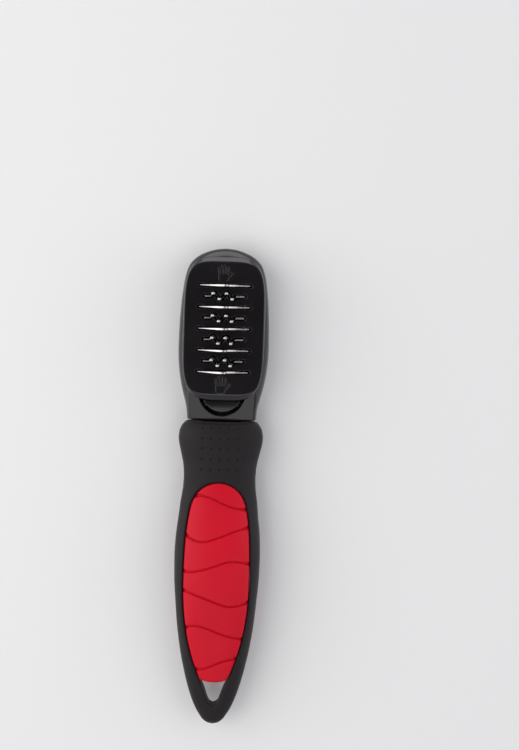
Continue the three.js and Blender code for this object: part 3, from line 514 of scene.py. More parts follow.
def make_material(name, base, roughness, swing, tint, grain, metallic=0.0, specular=0.5,
                  tint_scale=60.0, waves=None, sheen=0.0, scratches=0.0, brushing=None,
                  painted_shade=None):
    """Principled material.

    swing and tint are how far roughness and colour wander; grain and waves are fine and slow
    bumps; scratches is the roughness added in fine lines; brushing is the scale of brushed
    lines along each axis; the last argument darkens the colour toward a low height, painted
    shade for the dark inside of the blade slots.
    """
    material = bpy.data.materials.new(name)
    material.use_nodes = True
    tree = material.node_tree
    tree.nodes.clear()
    place = add_node(tree, "TexCoord").outputs["Object"]

    patches = remap(tree, noise(tree, place, tint_scale, detail=5.0), 0.0, 1.0)
    colours = {"A": [c * (1 - tint) for c in base] + [1],
               "B": [c * (1 + tint) for c in base] + [1],
               "Factor": patches}
    colour = add_node(tree, "Mix", colours, data_type="RGBA").outputs["Result"]
    # Painted shade: the colour darkens toward a low height, standing in for the shade down in the
    # blade slots
    if painted_shade:
        height = add_node(tree, "SeparateXYZ", {0: place}).outputs["Z"]
        shade = remap(tree, height, painted_shade["darkest"], 1.0,
                      painted_shade["low_z"] * MM, painted_shade["high_z"] * MM)
        colour = add_node(tree, "Mix", {"Factor": 1.0, "A": colour, "B": shade},
                          data_type="RGBA", blend_type="MULTIPLY").outputs["Result"]

    gloss = remap(tree, noise(tree, place, 90.0, detail=6.0), roughness - swing,
                  roughness + swing)
    if scratches:
        stretched = add_node(tree, "Mapping", {"Scale": (900, 60, 200), "Rotation": (0, 0, 0.5),
                                               "Vector": place}).outputs["Vector"]
        lines = noise(tree, stretched, 3.0, detail=8.0, roughness=0.7)
        added = remap(tree, lines, 0.0, scratches, start=0.55, end=0.8)
        gloss = add_node(tree, "Math", {0: gloss, 1: added}, operation="ADD").outputs[0]
    if brushing:
        stretched = add_node(tree, "Mapping", {"Scale": brushing, "Vector": place})
        brushed = noise(tree, stretched.outputs["Vector"], 1.0, detail=4.0, roughness=0.65)
        added = remap(tree, brushed, -0.04, 0.07)
        gloss = add_node(tree, "Math", {0: gloss, 1: added}, operation="ADD").outputs[0]

    normal = None
    for layer in filter(None, (grain, waves)):
        height = noise(tree, place, layer["scale"])
        normal = bump(tree, height, layer["strength"], layer["depth"], normal)
    if brushing:
        normal = bump(tree, brushed, 0.14, 0.02, normal)

    inputs = {"Metallic": metallic, "IOR": 1.5, "Specular IOR Level": specular,
              "Base Color": colour, "Roughness": gloss, "Normal": normal}
    if sheen:
        inputs.update({"Sheen Weight": sheen, "Sheen Roughness": 0.45})
    shader = add_node(tree, "BsdfPrincipled", inputs)
    add_node(tree, "OutputMaterial", {0: shader.outputs[0]})
    return material


GLOSS_GRAIN = dict(scale=1800.0, strength=0.05, depth=0.006)
FINE_GRAIN = dict(scale=2600.0, strength=0.06, depth=0.01)
COARSE_GRAIN = dict(scale=2400.0, strength=0.12, depth=0.02)
BLADE_LOOK = dict(base=(0.62, 0.60, 0.585), roughness=0.24, swing=0.04, tint=0.03, metallic=1.0,
                  grain=FINE_GRAIN, brushing=(300.0, 300.0, 6000.0))

GLOSS = make_material(
    "gloss_black", base=(0.0085, 0.0075, 0.0090), roughness=0.15, swing=0.03, tint=0.15,
    grain=GLOSS_GRAIN, waves=dict(scale=160.0, strength=0.12, depth=0.03), scratches=0.10)
GLOSS_CASSETTE = make_material(
    "gloss_black_cassette", base=(0.0095, 0.0080, 0.0095), roughness=0.17, swing=0.03, tint=0.15,
    grain=GLOSS_GRAIN, waves=dict(scale=200.0, strength=0.10, depth=0.02), scratches=0.12)
RUBBER = make_material(
    "rubber_black", base=(0.0130, 0.0098, 0.0120), roughness=0.58, swing=0.05, tint=0.12,
    tint_scale=45.0, grain=dict(scale=3200.0, strength=0.35, depth=0.05),
    waves=dict(scale=420.0, strength=0.10, depth=0.03), specular=0.22, sheen=0.06)
RED = make_material(
    "rubber_red", base=(0.595, 0.0030, 0.0185), roughness=0.46, swing=0.05, tint=0.04,
    tint_scale=40.0, grain=dict(scale=3000.0, strength=0.25, depth=0.035),
    waves=dict(scale=300.0, strength=0.08, depth=0.03), specular=0.18)
# Both blade steels carry painted shade: darker toward their low parts, where they sit in the dark
# slots
STEEL = make_material(
    "blade_steel", painted_shade=dict(low_z=13.2, high_z=16.8, darkest=0.22), **BLADE_LOOK)
STEEL_TOOTHED = make_material(
    "blade_steel_toothed", painted_shade=dict(low_z=14.5, high_z=20.5, darkest=0.28), **BLADE_LOOK)
SPRING = make_material(
    "spring_steel", base=(0.62, 0.61, 0.60), roughness=0.28, swing=0.05, tint=0.05,
    metallic=1.0, grain=FINE_GRAIN, brushing=(200.0, 4000.0, 4000.0))
ZINC = make_material(
    "screw_zinc", base=(0.55, 0.56, 0.57), roughness=0.32, swing=0.08, tint=0.08,
    metallic=1.0, grain=COARSE_GRAIN)


# ---------------------------------------------------------------- grip and pads
grip_half_width, grip_front, grip_back = map(Profile, (GRIP_HALF_WIDTH, GRIP_FRONT, GRIP_BACK))


def grip_form(x, y, z, inset=0.0):
    """Distance to the handle's outer form, drawn in by inset."""
    power = 2.4
    front, back = grip_front(y) - inset, grip_back(y) + inset
    half_x = np.maximum(grip_half_width(y) - inset, 0.3)
    half_z = np.maximum((front - back) / 2, 0.3)
    from_middle = z - (front + back) / 2
    slope_x = grip_half_width.slope(y)
    slope_z = (grip_front.slope(y) - grip_back.slope(y)) / 2
    slope_middle = (grip_front.slope(y) + grip_back.slope(y)) / 2
    u, v = np.abs(x) / half_x, np.abs(from_middle) / half_z
    u_power, v_power = u ** power, v ** power
    level = np.maximum(u_power + v_power, 1e-9) ** (1 / power)
    factor = level ** (1 - power)
    rate_x = factor * u ** (power - 1) / half_x
    rate_z = factor * v ** (power - 1) / half_z
    rate_y = factor * (-u_power / half_x * slope_x - v_power / half_z * slope_z
                       - v ** (power - 1) * np.sign(from_middle) / half_z * slope_middle)
    steepness = np.sqrt(rate_x * rate_x + rate_y * rate_y + rate_z * rate_z)
    return np.clip((level - 1) / np.maximum(steepness, 0.02), -9, 9)


def opening_outline(count=120):
    top, bottom = OPENING_HALF_WIDTH[0][0], OPENING_HALF_WIDTH[-1][0]
    y = top + (bottom - top) * (0.5 - 0.5 * np.cos(np.pi * np.linspace(0, 1, count + 1)))
    x = np.maximum(Profile(OPENING_HALF_WIDTH, blur=2.0)(y), 0.0)
    x[0] = x[-1] = 0
    return mirror(np.stack([x, y], 1))


OPENING = Plan([opening_outline()], (-17, -150), (17, -30))
GROOVE_LINES = Plan([spline(groove, 8) for groove in GROOVES], (-17, -134), (17, -55), 0.15,
                    closed=False)


def end_bow(x):
    """How far the neck's end bows toward -y."""
    return 0.5 * (1 - np.minimum((x / 12.7) ** 2, 1.0))


def dimple_depth(x, y):
    rows = np.array(DIMPLE_ROWS_Y)
    near_y = rows[np.abs(y[..., None] - rows).argmin(-1)]
    column = np.clip(np.round(x / DIMPLE_PITCH_X), -DIMPLES_EACH_SIDE, DIMPLES_EACH_SIDE)
    radius = np.hypot(x - column * DIMPLE_PITCH_X, y - near_y)
    return 0.37 * (1 - ease(0.20, 0.56, radius))


def sleeve(x, y, z):
    form = grip_form(x, y, z) + dimple_depth(x, y)
    form = soft_max(form, -z, 0.9)
    form = soft_max(form, y - (NECK_END_Y - 0.4 - end_bow(x)), 1.0)
    form = soft_max(form, TIP_Y - y, 0.6)
    form = carve(form, OPENING(x, y), 1.3)
    return carve(form, block(x, y, z, (-7.3, -70, 4.9), (7.3, -30, 10.5), 0.1))


def pad(is_front):
    def field(x, y, z):
        groove, opening = GROOVE_LINES(x, y), OPENING(x, y)
        # The grooves deepen and open out where they run into the pad's edge
        end = ease(-2.3, -0.4, opening)
        depth = ((0.72 + 0.45 * end) * (1 - ease(0.05, 0.50 + 0.42 * end, groove))
                 + 0.10 * np.exp(-((groove / 1.3) ** 2)))
        skin = grip_form(x, y, z, inset=0.10)
        form = soft_max(skin + depth, -z, 0.6)
        # The pads part from the grip by a fine line at the surface and close up below it
        form = soft_max(form, opening + 0.04 + 0.16 * ease(-2.6, -1.2, skin), 0.9)
        past_end = np.minimum(y - PAD_END_Y - PAD_END_R, 0)
        form = soft_max(form, np.hypot(x, past_end) - PAD_END_R, 1.0)
        split = (PAD_SPLIT_Z + 0.1 - z) if is_front else (z - PAD_SPLIT_Z + 0.1)
        form = soft_max(form, split, 0.25)
        # Room for the two parts of the core
        form = carve(form, block(x, y, z, (-7.4, -62.4, 4.8), (7.4, -30, 10.6), 0.1))
        return carve(form, block(x, y, z, (-6.9, -123.4, 7.3), (6.9, -55, 12.1), 0.1))
    return field


def core(x, y, z):
    return union([block(x, y, z, (-7, -62, 5.2), (7, -36.4, 10.2), 0.6),
                  block(x, y, z, (-6.6, -38, 5.4), (6.6, -33.4, 8.0), 0.3),
                  block(x, y, z, (-6.5, -123, 7.7), (6.5, -61, 11.7), 0.8)])


# ---------------------------------------------------------------- head, back cover and button
def head_plan(half_x, half_y, power):
    return Plan([superellipse(half_x, half_y, power)], (-18, -30), (18, 30))


HEAD = Plan([mirror(np.vstack([spline(HEAD_RIGHT, 10), [[0, HEAD_RIGHT[-1][1]]]]))],
            (-19, -40), (19, 32))
FLANGE = head_plan(FLANGE_HALF_X, FLANGE_HALF_Y, 4)
FLANGE_TOP = head_plan(FLANGE_HALF_X - 0.4, 24.6, 5)
FLANGE_BOTTOM = head_plan(FLANGE_HALF_X - 0.6, 25.0, 4)
POCKET = head_plan(13.8, 23.4, 6)
BOX = head_plan(BOX_HALF_X, BOX_HALF_Y, 6)


def rim_inset(x, y):
    by_x = ease(15, 22, y)
    return (np.interp(y, *RIM_INSET_BY_Y) * (1 - by_x)
            + np.interp(np.abs(x), *RIM_INSET_BY_X) * by_x)


def neck_top(y):
    """Height of the neck's upper face, with a rounded start to its slope."""
    past = NECK_TOP_Y - y
    return RIM_Z - NECK_SLOPE * np.where(past > 1, past,
                                         np.where(past < -1, 0, (past + 1) ** 2 / 4))


def rim_top(x, y):
    """The rim's height: the neck's plane runs on up between the flange and the outline."""
    plane = RIM_Z - NECK_SLOPE * (NECK_TOP_Y - y)
    raised = RIM_Z + 1.0 * np.clip(1 + (FLANGE(x, y) - 0.2) / 1.8, 0, 1)
    level = RIM_Z + (raised - RIM_Z) * ease(-17.5, -22.5, y)
    return np.where(y < NECK_TOP_Y - 0.5, plane, soft_min(plane, level, 0.3))


def head_frame(x, y, z):
    outline, inset = HEAD(x, y), rim_inset(x, y)
    # The sides curve in above and below the waist
    rise, drop = 4.2, 3.1
    upper = np.clip((z - 7.8) / rise, 0, 1.4)
    lower = np.clip((7.6 - z) / drop, 0, 1.5)
    slope = inset * 2.1 * upper ** 1.1 / rise + 2 * lower / drop
    form = (outline + inset * upper ** 2.1 + lower ** 2) / np.sqrt(1 + slope ** 2)
    form = soft_max(form, (z - rim_top(x, y)) / 1.018, 0.7)
    form = soft_max(form, FRAME_BOTTOM_Z - z, 0.3)
    form = soft_max(form, NECK_END_Y - end_bow(x) - y, 0.6)
    # Plug inside the back cover
    plug = np.maximum(np.maximum(outline + 2.6, np.abs(z - 3.7) - 1.3), -32.8 - y)
    form = np.minimum(form, plug)
    # Pocket and the channels for the cassette's end bars
    form = carve(form, soft_max(POCKET(x, y), POCKET_FLOOR_Z - z, 0.8), 0.45)
    channels = union([block(x, y, z, (-4.6, 20, 7.4), (4.6, 26.7, 10.65), 0.25),
                      block(x, y, z, (-4.6, 20, 7.4), (4.6, 24.9, 15), 0.1),
                      block(x, y, z, (-4.6, -29.2, 7.4), (4.6, -20, 15), 0.1)])
    form = carve(form, channels, 0.25)
    # Latch cavity and the window round the button
    cavity = union([block(x, y, z, (-8.7, -31, -2), (8.7, -26.6, 10.3), 0.1),
                    block(x, y, z, (-8.7, -32.2, 5.6), (8.7, -30.9, 9.4), 0.1),
                    block(x, y, z, (-4, -33, -2), (4, -30.9, 4.4), 0.1)])
    form = carve(form, cavity)
    window = soft_max(np.hypot(x, y - BUTTON_Y) - WINDOW_R, y + 26.3, 0.2)
    form = carve(form, np.maximum(window, 9.2 - z), 0.35)
    for hole_x, hole_y in COVER_SCREWS:
        hole = np.hypot(x - hole_x, y - hole_y) - SCREW_HOLE_R
        form = carve(form, np.maximum(hole, z - 7.1))
    return form


def back_cover(x, y, z):
    outline = HEAD(x, y)
    height, inset = 4.2, 2.2
    below = np.clip(1 - z / height, 0, 1.1)
    slope = inset * 2.5 * below ** 1.5 / height
    form = (outline + 1.0 + inset * below ** 2.5) / np.sqrt(1 + slope ** 2)
    form = soft_max(form, -z, 0.25)
    form = soft_max(form, z - (FRAME_BOTTOM_Z - 0.3), 0.25)
    form = soft_max(form, NECK_END_Y - end_bow(x) - y, 0.4)
    # Hollow above a 2 mm floor, with a block in it at the neck end
    form = carve(form, np.maximum(np.maximum(outline + 2.2, 2.0 - z), -33.1 - y))
    form = np.minimum(form, block(x, y, z, (-3.6, -32.4, 1.8), (3.6, -31.2, 3.35), 0.1))
    for hole_x, hole_y in COVER_SCREWS:
        radius = np.hypot(x - hole_x, y - hole_y)
        hole = np.minimum(np.maximum(radius - SCREW_HOLE_R, z - 4),
                          np.maximum(radius - SCREW_SINK_R, z - 1.4))
        form = carve(form, hole, 0.2)
    return form


def button(x, y, z):
    past = BUTTON_FLAT_Y - y
    top = 12.35 - 0.03 * past - 0.016 * past * np.abs(past)
    form = soft_max(np.hypot(x, y - BUTTON_Y) - BUTTON_R, y - BUTTON_FLAT_Y, 0.4)
    form = soft_max(form, (z - top) / 1.02, 0.55)
    form = soft_max(form, (neck_top(y) - 0.35 - z) / 1.02, 0.1)
    # A leg and a sideways foot on each side
    side = np.abs(x)
    return union([form,
                  block(side, y, z, (4.9, -28.9, 8.6), (6.0, -27.4, 11.6), 0.1),
                  block(side, y, z, (4.9, -28.9, 8.6), (8.3, -27.4, 9.9), 0.15)])


def latch_leaf(x, y, z):
    form = union(capsule(y, z, start, end, 0.25)
                 for start, end in zip(LEAF_PATH, LEAF_PATH[1:]))
    form = soft_max(form, np.abs(x) - 3.3 + 1.8 * ease(-29.9, -30.5, y), 0.1)
    nose = np.minimum(block(x, y, z, (-2.2, -29.9, 10.1), (2.2, -29.4, 10.8), 0.05),
                      block(x, y, z, (-2.2, -29.9, 10.5), (2.2, -25.7, 10.8), 0.12))
    return soft_min(form, nose, 0.1)


# ---------------------------------------------------------------- blades
def carve_rod_holes(form, x, z):
    for hole_x in (-ROD_X, ROD_X):
        form = carve(form, np.hypot(x - hole_x, z - ROD_Z) - ROD_HOLE_R)
    return form


HOOKED_FOOT = [(-9.35, FOOT_TOP_Z), (-FOOT_HALF_X, FOOT_TOP_Z), (-FOOT_HALF_X, FOOT_BOTTOM_Z),
               (FOOT_HALF_X, FOOT_BOTTOM_Z), (FOOT_HALF_X, FOOT_TOP_Z), (9.35, FOOT_TOP_Z)]
HOOKED_SIDE = Plan([np.vstack([HOOKED_FOOT, spline(HOOKED_EDGE, 6)])], (-12.5, 7), (12.5, 24.5),
                   0.1)


def hooked_blade(x, y, z):
    side = HOOKED_SIDE(x, z)
    form = soft_max(np.abs(y) - BLADE_HALF_THICKNESS, side, 0.12)
    # Ground thin toward both ends of the working edge
    half = np.interp(x, *HOOKED_GRIND)
    ground = (np.abs(y) - half + 0.30 * side - 2.0 * ease(15.6, 14.4, z)) / 1.04
    return carve_rod_holes(soft_max(form, ground, 0.10), x, z)


def tooth_waves():
    """Plan line of a toothed blade through its teeth, set to alternate sides: x, y."""
    points = [(-5.7, 0), (-5.0, 0.08), (-4.5, 0.62)]
    for i, tooth_x in enumerate(TOOTH_X):
        offset = -TOOTH_SET if i % 2 else TOOTH_SET
        points += [(tooth_x - 0.5, 0.93 * offset), (tooth_x, offset),
                   (tooth_x + 0.5, 0.93 * offset)]
    return points + [(3.85, -0.5), (4.3, -0.06), (4.95, 0)]


TOOTHED_LINE = Profile([(-13, 0), (-11.5, 0), (-8.5, 0)] + tooth_waves()
                       + [(8, 0), (11.5, 0), (13, 0)], blur=0.45)
TOOTHED_SLOT = Plan([np.array([(-7.45, 0.0)] + tooth_waves() + [(7.45, 0.0)])],
                    (-9.6, -3.4), (9.6, 3.4), 0.06, closed=False)


def toothed_blade(x, y, z):
    sheet = (np.abs(y - TOOTHED_LINE(x)) / np.sqrt(1 + TOOTHED_LINE.slope(x) ** 2)
             - BLADE_HALF_THICKNESS)
    # The plate drops between its shoulders, where the teeth stand
    top = SHOULDER_Z - 3.5 * ease(-4.9, -4.4, x) * (1 - ease(3.65, 4.25, x))
    plate = np.maximum(np.abs(x) - 7.3, (z - top) * 0.8)
    foot = rectangle(x, z - (FOOT_BOTTOM_Z + FOOT_TOP_Z) / 2, FOOT_HALF_X,
                     (FOOT_TOP_Z - FOOT_BOTTOM_Z) / 2, 0.2)
    side = np.maximum(np.minimum(plate, foot), FOOT_BOTTOM_Z - z)
    for tooth_x in TOOTH_X:
        tooth = capsule(x, z, (tooth_x, SHOULDER_Z - 1), (tooth_x, TOOTH_TOP_Z - TOOTH_R),
                        TOOTH_R)
        side = soft_min(side, tooth, 0.5)
    form = soft_max(sheet, side, 0.42)
    bevel = (sheet + 0.20 + 0.55 * np.clip(z - top, -0.5, 0)
             - 5 * ease(top + 0.2, top + 0.6, z)) / 1.14
    return carve_rod_holes(np.maximum(form, bevel), x, z)


# ---------------------------------------------------------------- cassette
def hand(x, y):
    """Outline of a plain open hand, about 7 mm across."""
    form = rectangle(x + 0.55, y + 1.75, 1.95, 1.65, 1.2)
    # Fingers: root x, tip y
    for root_x, tip_y in ((-2.02, 1.9), (-1.02, 2.85), (0.0, 3.15), (1.0, 2.55)):
        finger = capsule(x, y, (root_x, -1.0), (root_x * 1.18 - 0.05, tip_y), 0.40)
        form = soft_min(form, finger, 0.25)
    return soft_min(form, capsule(x, y, (0.7, -2.3), (3.0, 0.05), 0.46), 0.5)


def emblem_height(x, y, scale=0.9):
    line = scale * np.abs(hand(x / scale, y / scale))
    return 0.05 * (1 - ease(0.08, 0.32, line))


EMBLEM = Relief(emblem_height, 4.6)


def cassette_face(x, y, z):
    flange = FLANGE(x, y)
    # The flange's edge tapers in above 14.3 and below 13.5
    taper_up, height_up = FLANGE_TOP(x, y) - flange, FACE_Z - 14.3
    taper_down, height_down = FLANGE_BOTTOM(x, y) - flange, 1.2
    above, below = (z - 14.3) / height_up, np.clip((13.5 - z) / height_down, 0, 1.3)
    upper = ((flange + np.clip(above, 0, 1.3) * taper_up)
             / np.sqrt(1 + (taper_up / height_up) ** 2 * (above > 0)))
    lower = ((flange + below * taper_down)
             / np.sqrt(1 + (taper_down / height_down) ** 2 * (below > 0)))
    form = soft_max(upper, lower, 0.5)
    emblems = EMBLEM(x, y - 20.5) + EMBLEM(x, y + 20.7)
    form = soft_max(form, z - FACE_Z - emblems, 0.42)
    form = soft_max(form, 12.3 - z, 0.3)
    box = soft_max(soft_max(BOX(x, y), z - 13.0, 0.1), 7.6 - z, 0.3)
    form = soft_min(form, box, 0.3)
    # End bars on their tongues
    end_y = np.abs(y)
    tongue = block(x, end_y, z, (-TONGUE_HALF_X, 20, BAR_Z - 0.6),
                   (TONGUE_HALF_X, BAR_Y, BAR_Z + 0.6), 0.1)
    bar = np.maximum(np.hypot(end_y - BAR_Y, z - BAR_Z) - BAR_R, np.abs(x) - TONGUE_HALF_X)
    form = soft_min(form, soft_min(tongue, bar, 0.3), 0.3)
    form = carve(form, block(x, y, z, (-11.9, -17.2, -5), (11.9, 17.2, 13.8), 0.2))
    # Slots for the blades
    slots = union([capsule(x, y - slot_y, (-9.55, 0), (9.55, 0), 0.70) for slot_y in HOOKED_Y]
                  + [TOOTHED_SLOT(x, y - slot_y) - 0.80 for slot_y in TOOTHED_Y])
    return carve(form, np.maximum(slots, 13.0 - z), 0.30)


def cassette_back(x, y, z):
    form = BOX(x, y) + 0.5 * np.clip((5.9 - z) / 0.5, 0, 1.2)
    form = soft_max(soft_max(form, z - 7.3, 0.2), 5.4 - z, 0.3)
    for hole_x, hole_y in CASSETTE_SCREWS:
        radius = np.hypot(x - hole_x, y - hole_y)
        hole = np.minimum(radius - SCREW_HOLE_R, np.maximum(radius - SCREW_SINK_R, z - 6.5))
        form = carve(form, hole, 0.15)
    return form


def screw(shank_r, length):
    """Cross-slotted screw, head at z = 0 and shank toward +z."""
    def field(x, y, z):
        radius = np.hypot(x, y)
        dome = -z + 0.10 * (radius / SCREW_HEAD_R) ** 2
        form = soft_max(soft_max(radius - SCREW_HEAD_R, dome, 0.25), z - SCREW_HEAD_HEIGHT, 0.1)
        turn = z - np.arctan2(y, x) / (2 * math.pi) * THREAD_PITCH
        thread = shank_r - THREAD_DEPTH + THREAD_DEPTH * np.cos(turn * 2 * math.pi / THREAD_PITCH)
        shank = soft_max(np.maximum(radius - thread, SCREW_HEAD_HEIGHT - 0.2 - z),
                         z - SCREW_HEAD_HEIGHT - length, 0.5)
        form = soft_min(form, shank, 0.15)
        arm, half_slot = SCREW_HEAD_R * 0.62, 0.24
        cross = np.minimum(rectangle(x, y, arm, half_slot, 0.08),
                           rectangle(x, y, half_slot, arm, 0.08))
        return carve(form, np.maximum(cross, z - SCREW_HEAD_HEIGHT * 0.62), 0.08)
    return field


# ---------------------------------------------------------------- building the pieces
def register(name, mesh, replaced, body):
    piece = bpy.data.objects.new(name, mesh)
    bpy.context.scene.collection.objects.link(piece)
    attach(piece, body)
    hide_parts(replaced)
    return piece


def build(name, replaced, field, low, high, step, body, material, relax=2, shift=None):
    """Mesh a field between two corners on a grid of the given step."""
    points, quads, normals = surface(field, low, high, step, relax)
    if shift is not None:
        points = points + np.array(shift)
    mesh = bpy.data.meshes.new(name)
    mesh.from_pydata(points * MM, [], quads)
    mesh.polygons.foreach_set("use_smooth", np.ones(len(mesh.polygons), bool))
    mesh.normals_split_custom_set_from_vertices(normals)
    mesh.update()
    mesh.materials.append(material)
    return register(name, mesh, replaced, body)


def build_set(kind, places, field, low, high, step, body, material):
    """Build the first of a set of equal pieces and copy it to the other places."""
    first = None
    for ending, place in places.items():
        name, replaced = f"{kind}_fine_{ending}", f"{kind}_{ending}"
        if first is None:
            first, first_place = build(name, replaced, field, low, high, step, body, material,
                                       relax=1, shift=place), place
            continue
        mesh = first.data.copy()
        mesh.name = name
        move = [a - b for a, b in zip(place, first_place)]
        mesh.transform(Matrix.Translation(Vector(move) * MM))
        mesh.update()
        register(name, mesh, replaced, body)


def build_screws(kind, endings, shank_r, length, body):
    places = {}
    for ending in endings:
        low, high = node_box(f"{kind}_{ending}")
        places[ending] = ((low[0] + high[0]) / 2, (low[1] + high[1]) / 2, low[2])
    build_set(kind, places, screw(shank_r, length), (-1.9, -1.9, -0.2), (1.9, 1.9, length + 1.1),
              0.085, body, ZINC)


# Each call: name, replaced node, field, low corner, high corner, grid step, body, look
build("head_shell", "head_frame", head_frame, (-17.2, -35.2, 2.0), (17.2, 30.4, 12.6), 0.24,
      "handle", GLOSS)
build("handle_core", "head_frame", core, (-7.6, -123.6, 4.6), (7.6, -33.0, 12.3), 0.55,
      "handle", GLOSS, relax=0)
build("back_shell", "back_cover", back_cover, (-16.6, -35.2, -0.5), (16.6, 30.0, 4.8), 0.26,
      "handle", GLOSS)
build("grip", "grip_sleeve", sleeve, (-16.6, -148.6, -0.6), (16.6, -33.6, 19.9), 0.30,
      "handle", RUBBER)
build("front_pad", "front_grip_pad", pad(True), (-13, -132.4, 9.0), (13, -56.4, 20), 0.25,
      "handle", RED)
build("rear_pad", "rear_grip_pad", pad(False), (-13, -132.4, -0.6), (13, -56.4, 10.2), 0.27,
      "handle", RED)
build("button_cap", "release_button", button, (-9, -32, 8.0), (9, -26.6, 13.2), 0.13,
      "button", GLOSS)
build("cassette_shell", "cassette_face", cassette_face, (-15.9, -27.5, 7.0), (15.9, 27.5, 16.6),
      0.20, "cassette", GLOSS_CASSETTE)
build("cassette_plate", "cassette_back", cassette_back, (-14, -22.6, 5.0), (14, 22.6, 7.7),
      0.25, "cassette", GLOSS_CASSETTE)
leaf = build("latch_leaf", "latch_spring", latch_leaf, (-3.7, -33, 3.4), (3.7, -25.2, 11.2),
             0.12, "handle", SPRING)
build_set("hooked_blade", {i: (0, y, 0) for i, y in enumerate(HOOKED_Y, 1)}, hooked_blade,
          (-11.8, -0.7, 7.6), (11.8, 0.7, 23.9), 0.12, "cassette", STEEL)
build_set("toothed_blade", {i: (0, y, 0) for i, y in enumerate(TOOTHED_Y, 1)}, toothed_blade,
          (-11.8, -1.8, 7.6), (11.8, 1.8, TOOTH_TOP_Z + 0.3), 0.13, "cassette", STEEL_TOOTHED)
build_screws("cover_screw", ("top", "left", "right"), shank_r=0.85, length=4.4, body="handle")
build_screws("cassette_screw", ("upper_left", "upper_right", "lower_left", "lower_right"),
             shank_r=0.8, length=3.4, body="cassette")

# The blade rods keep their CAD meshes, smooth round the sides and flat at the ends
ROD = make_material(
    "rod_steel", base=(0.20, 0.20, 0.205), roughness=0.45, swing=0.06, tint=0.1,
    metallic=1.0, grain=COARSE_GRAIN, brushing=(4000.0, 200.0, 4000.0))
for rod_name in ("blade_rod_left", "blade_rod_right"):
    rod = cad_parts[rod_name]
    rod.data.materials.clear()
    rod.data.materials.append(ROD)
    for polygon in rod.data.polygons:
        polygon.use_smooth = abs(polygon.normal.y) < 0.7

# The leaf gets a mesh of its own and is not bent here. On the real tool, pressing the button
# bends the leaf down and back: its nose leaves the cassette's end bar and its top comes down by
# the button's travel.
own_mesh(leaf)


# ---------------------------------------------------------------- floor, light and camera
HORIZON = (0.85, 0.85, 0.86, 1)
BACKDROP_STRENGTH = 0.85
# Backdrop colours: height (0 level, 1 overhead), colour
SKY = [(0.0, HORIZON), (0.45, (0.60, 0.60, 0.61, 1)), (0.86, (0.10, 0.10, 0.105, 1)),
       (1.0, (0.05, 0.05, 0.055, 1))]


def floor_material():
    """Pale matt floor that fades into the backdrop's tone far from the object."""
    material = bpy.data.materials.new("pale_floor")
    material.use_nodes = True
    tree = material.node_tree
    shader = tree.nodes["Principled BSDF"]
    shader.inputs["Base Color"].default_value = (0.86, 0.86, 0.87, 1)
    mottle = add_node(tree, "TexNoise", {"Scale": 3.0}).outputs[0]
    gloss = add_node(tree, "MapRange", {"To Min": 0.57, "To Max": 0.63, "Value": mottle})
    tree.links.new(gloss.outputs["Result"], shader.inputs["Roughness"])
    position = add_node(tree, "NewGeometry").outputs["Position"]
    distance = add_node(tree, "VectorMath", {0: position}, operation="LENGTH").outputs["Value"]
    far = add_node(tree, "MapRange", {"From Min": 0.32, "From Max": 0.86, "Value": distance},
                   interpolation_type="SMOOTHSTEP").outputs["Result"]
    glow = add_node(tree, "Emission", {"Color": HORIZON, "Strength": BACKDROP_STRENGTH})
    blend = add_node(tree, "MixShader", {0: far, 1: shader.outputs[0], 2: glow.outputs[0]})
    tree.links.new(blend.outputs[0], tree.nodes["Material Output"].inputs["Surface"])
    return material


def soft_light(name, place, target, size, power, colour=(1, 1, 1)):
    """Rectangular light aimed at a target; lengths in metres, power in watts."""
    data = bpy.data.lights.new(name, "AREA")
    data.shape = "RECTANGLE"
    data.size, data.size_y = size
    data.energy = power
    data.color = colour
    light = bpy.data.objects.new(name, data)
    light.location = Vector(place)
    aim = Vector(target) - Vector(place)
    light.rotation_euler = aim.to_track_quat("-Z", "Y").to_euler()
    bpy.context.scene.collection.objects.link(light)


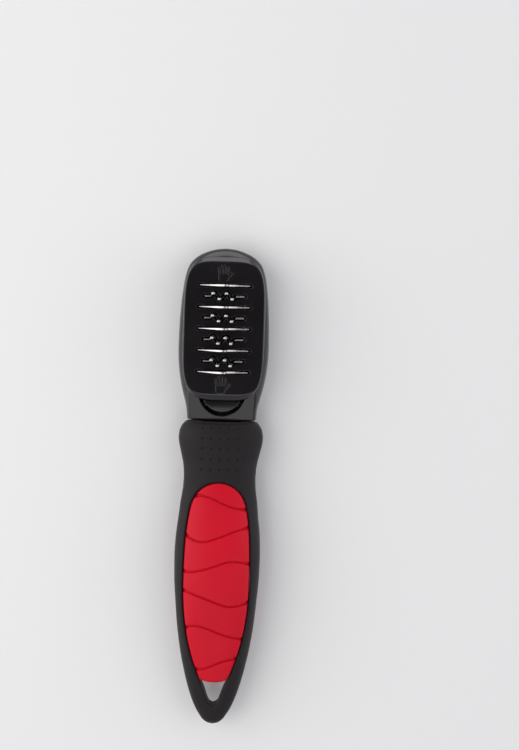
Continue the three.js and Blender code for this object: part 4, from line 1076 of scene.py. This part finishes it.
def build_world():
    world = bpy.data.worlds.new("studio")
    bpy.context.scene.world = world
    world.use_nodes = True
    tree = world.node_tree
    tree.nodes.clear()
    direction = add_node(tree, "TexCoord").outputs["Generated"]
    height = add_node(tree, "SeparateXYZ", {0: direction}).outputs["Z"]
    ramp = add_node(tree, "ValToRGB", {0: height})
    stops = ramp.color_ramp.elements
    stops[0].color = SKY[0][1]
    stops[1].color = SKY[-1][1]
    for position, colour in SKY[1:-1]:
        stops.new(position).color = colour
    background = add_node(tree, "Background", {0: ramp.outputs[0], 1: BACKDROP_STRENGTH})
    add_node(tree, "OutputWorld", {0: background.outputs[0]})


def build_camera():
    """Camera looking straight down, level with the head, its frame shifted to the handle."""
    distance, frame_width, shift, sensor_width = 640.0, 279.8507, 30.0, 36.0
    turn = math.radians(1.75)
    right = Vector((math.cos(turn), math.sin(turn), 0))
    up = Vector((-math.sin(turn), math.cos(turn), 0))
    frame_centre = right * 13.2 - up * 17.35
    eye = frame_centre + up * shift + Vector((0, 0, 9.5 + distance))
    data = bpy.data.cameras.new("camera")
    data.sensor_width = sensor_width
    data.lens = sensor_width * distance / frame_width
    data.shift_y = -shift / frame_width
    data.clip_start = 0.01
    camera = bpy.data.objects.new("camera", data)
    rotation = Matrix((right, up, Vector((0, 0, 1)))).transposed()
    camera.matrix_world = Matrix.Translation(eye * MM) @ rotation.to_4x4()
    bpy.context.scene.collection.objects.link(camera)
    bpy.context.scene.camera = camera


bpy.ops.mesh.primitive_plane_add(size=40, location=(0, 0, -0.00002))
floor = bpy.context.object
floor.name = "floor"
floor.data.materials.append(floor_material())

soft_light("left_box", place=(-0.56, 0.02, 0.44), target=(0.0, -0.05, 0.01), size=(0.80, 1.10),
           power=4.5, colour=(1.0, 0.985, 0.97))
soft_light("right_box", place=(0.58, 0.02, 0.46), target=(0.0, -0.05, 0.01), size=(0.70, 1.00),
           power=2.0, colour=(0.98, 0.99, 1.0))
soft_light("low_box", place=(0.0, -0.42, 0.64), target=(0, -0.03, 0.01), size=(0.50, 0.40),
           power=0.82)
soft_light("top_box", place=(0.0, 0.66, 0.17), target=(0, 0.02, 0.01), size=(0.60, 0.32),
           power=1.35)
build_world()

view = bpy.context.scene.view_settings
view.view_transform = "Standard"
view.look = "None"
view.exposure = 0.0
build_camera()
